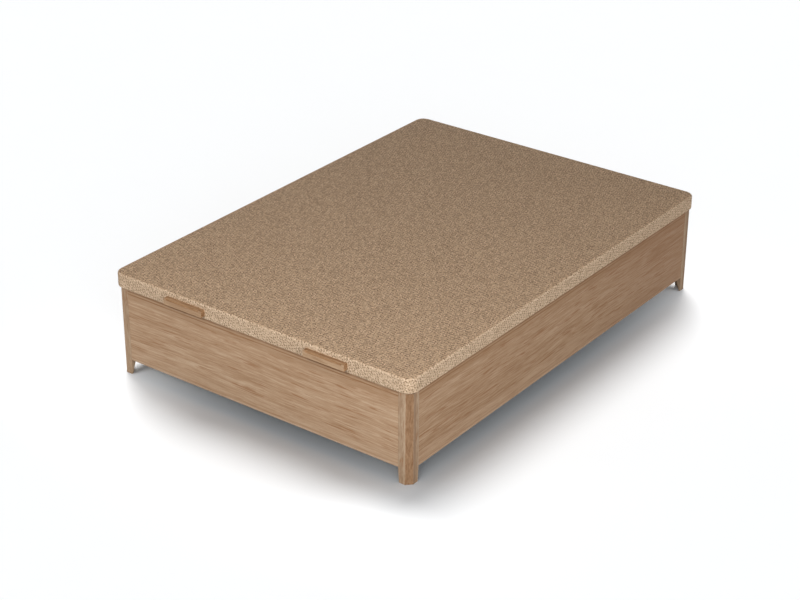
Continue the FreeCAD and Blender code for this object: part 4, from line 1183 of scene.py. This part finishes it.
alone(None)
bpy.ops.mesh.primitive_plane_add(size=floor_wide, location=(0, 0, -floor_drop))
floor = name_piece("studio_floor")
white, tree, shader = finish("white_paper", 0.9, specular=0.0)
paper = tint(tree, noise(tree, object_spot(tree), 3.0), *paper_shades)
coloured(tree, shader, tint(tree, in_view(tree), paper_bounce, paper))
floor.data.materials.append(white)
floor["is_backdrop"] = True

floor_only = bpy.data.collections.new("floor_only")
floor_only.objects.link(floor)
all_but_floor = bpy.data.collections.new("all_but_floor")
all_but_floor.objects.link(floor)
all_but_floor.collection_objects[0].light_linking.link_state = "EXCLUDE"
for name, energy, place, spread_angle, shade in (
    ("overhead_left", 2.54, (-1.15, 1.25, 3.2), 30, (1.0, 0.972, 0.945)),
    ("overhead_right", 0.79, (1.9, -2.1, 0.9), 40, (0.75, 0.885, 1.0)),
    ("overhead_dome", 0.08, (0, 0, 4), 150, (1.0, 1.0, 1.0)),
):
    sky = lamp(name, "SUN", energy, place, (0, 0, 0), angle=math.radians(spread_angle), color=shade)
    sky.light_linking.receiver_collection = floor_only
for name, energy, place, aim in (
    ("left_end", 0.66, (-0.70, -1.22, 0.24), (-0.62, -1.00, 0)),
    ("near_corner", 0.38, (0.76, -1.28, 0.24), (0.69, -1.10, 0)),
    ("rear_end", 0.46, (0.98, 0.96, 0.28), (0.80, 0.86, 0)),
):
    local = lamp(name, "AREA", energy, place, aim, size=0.20)
    local.visible_camera = False
    local.light_linking.receiver_collection = floor_only
for name, energy, place, aim, width in (
    ("key_front", 99, (0.2, -4.2, 2.9), (0, -0.6, 0.2), 1.6),
    ("fill_right", 122, (4.4, -2.4, 1.6), (0.5, -0.3, 0.2), 1.8),
    ("top_soft", 18, (1.2, -2.2, 3.4), (0, 0, 0.4), 2.5),
    ("fill_back", 90, (-3.6, 4.2, 0.6), (-0.3, 0.5, 0.25), 1.4),
):
    soft = lamp(name, "AREA", energy, place, aim, size=width)
    soft.light_linking.receiver_collection = all_but_floor

world = bpy.data.worlds.new("studio")
world.use_nodes = True
bpy.context.scene.world = world
tree = world.node_tree
back = tree.nodes["Background"]
tree.links.new(spread(tree, in_view(tree), 0.0, 1.0, 0.25, 1.0), back.inputs["Strength"])
back.inputs["Color"].default_value = (1, 1, 1, 1)

camera_data = bpy.data.cameras.new("photo_camera")
camera_data.lens = 87.598
camera_data.sensor_width = 36
camera_data.sensor_fit = "HORIZONTAL"
camera = bpy.data.objects.new("photo_camera", camera_data)
bpy.context.scene.collection.objects.link(camera)
camera.location = (3.95374738, -5.41511256, 3.55505099)
camera.rotation_euler = [math.radians(turn) for turn in (62.85688912, -0.22345847, 36.79102547)]
bpy.context.scene.camera = camera
bpy.context.scene.view_settings.view_transform = "Standard"

low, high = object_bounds()
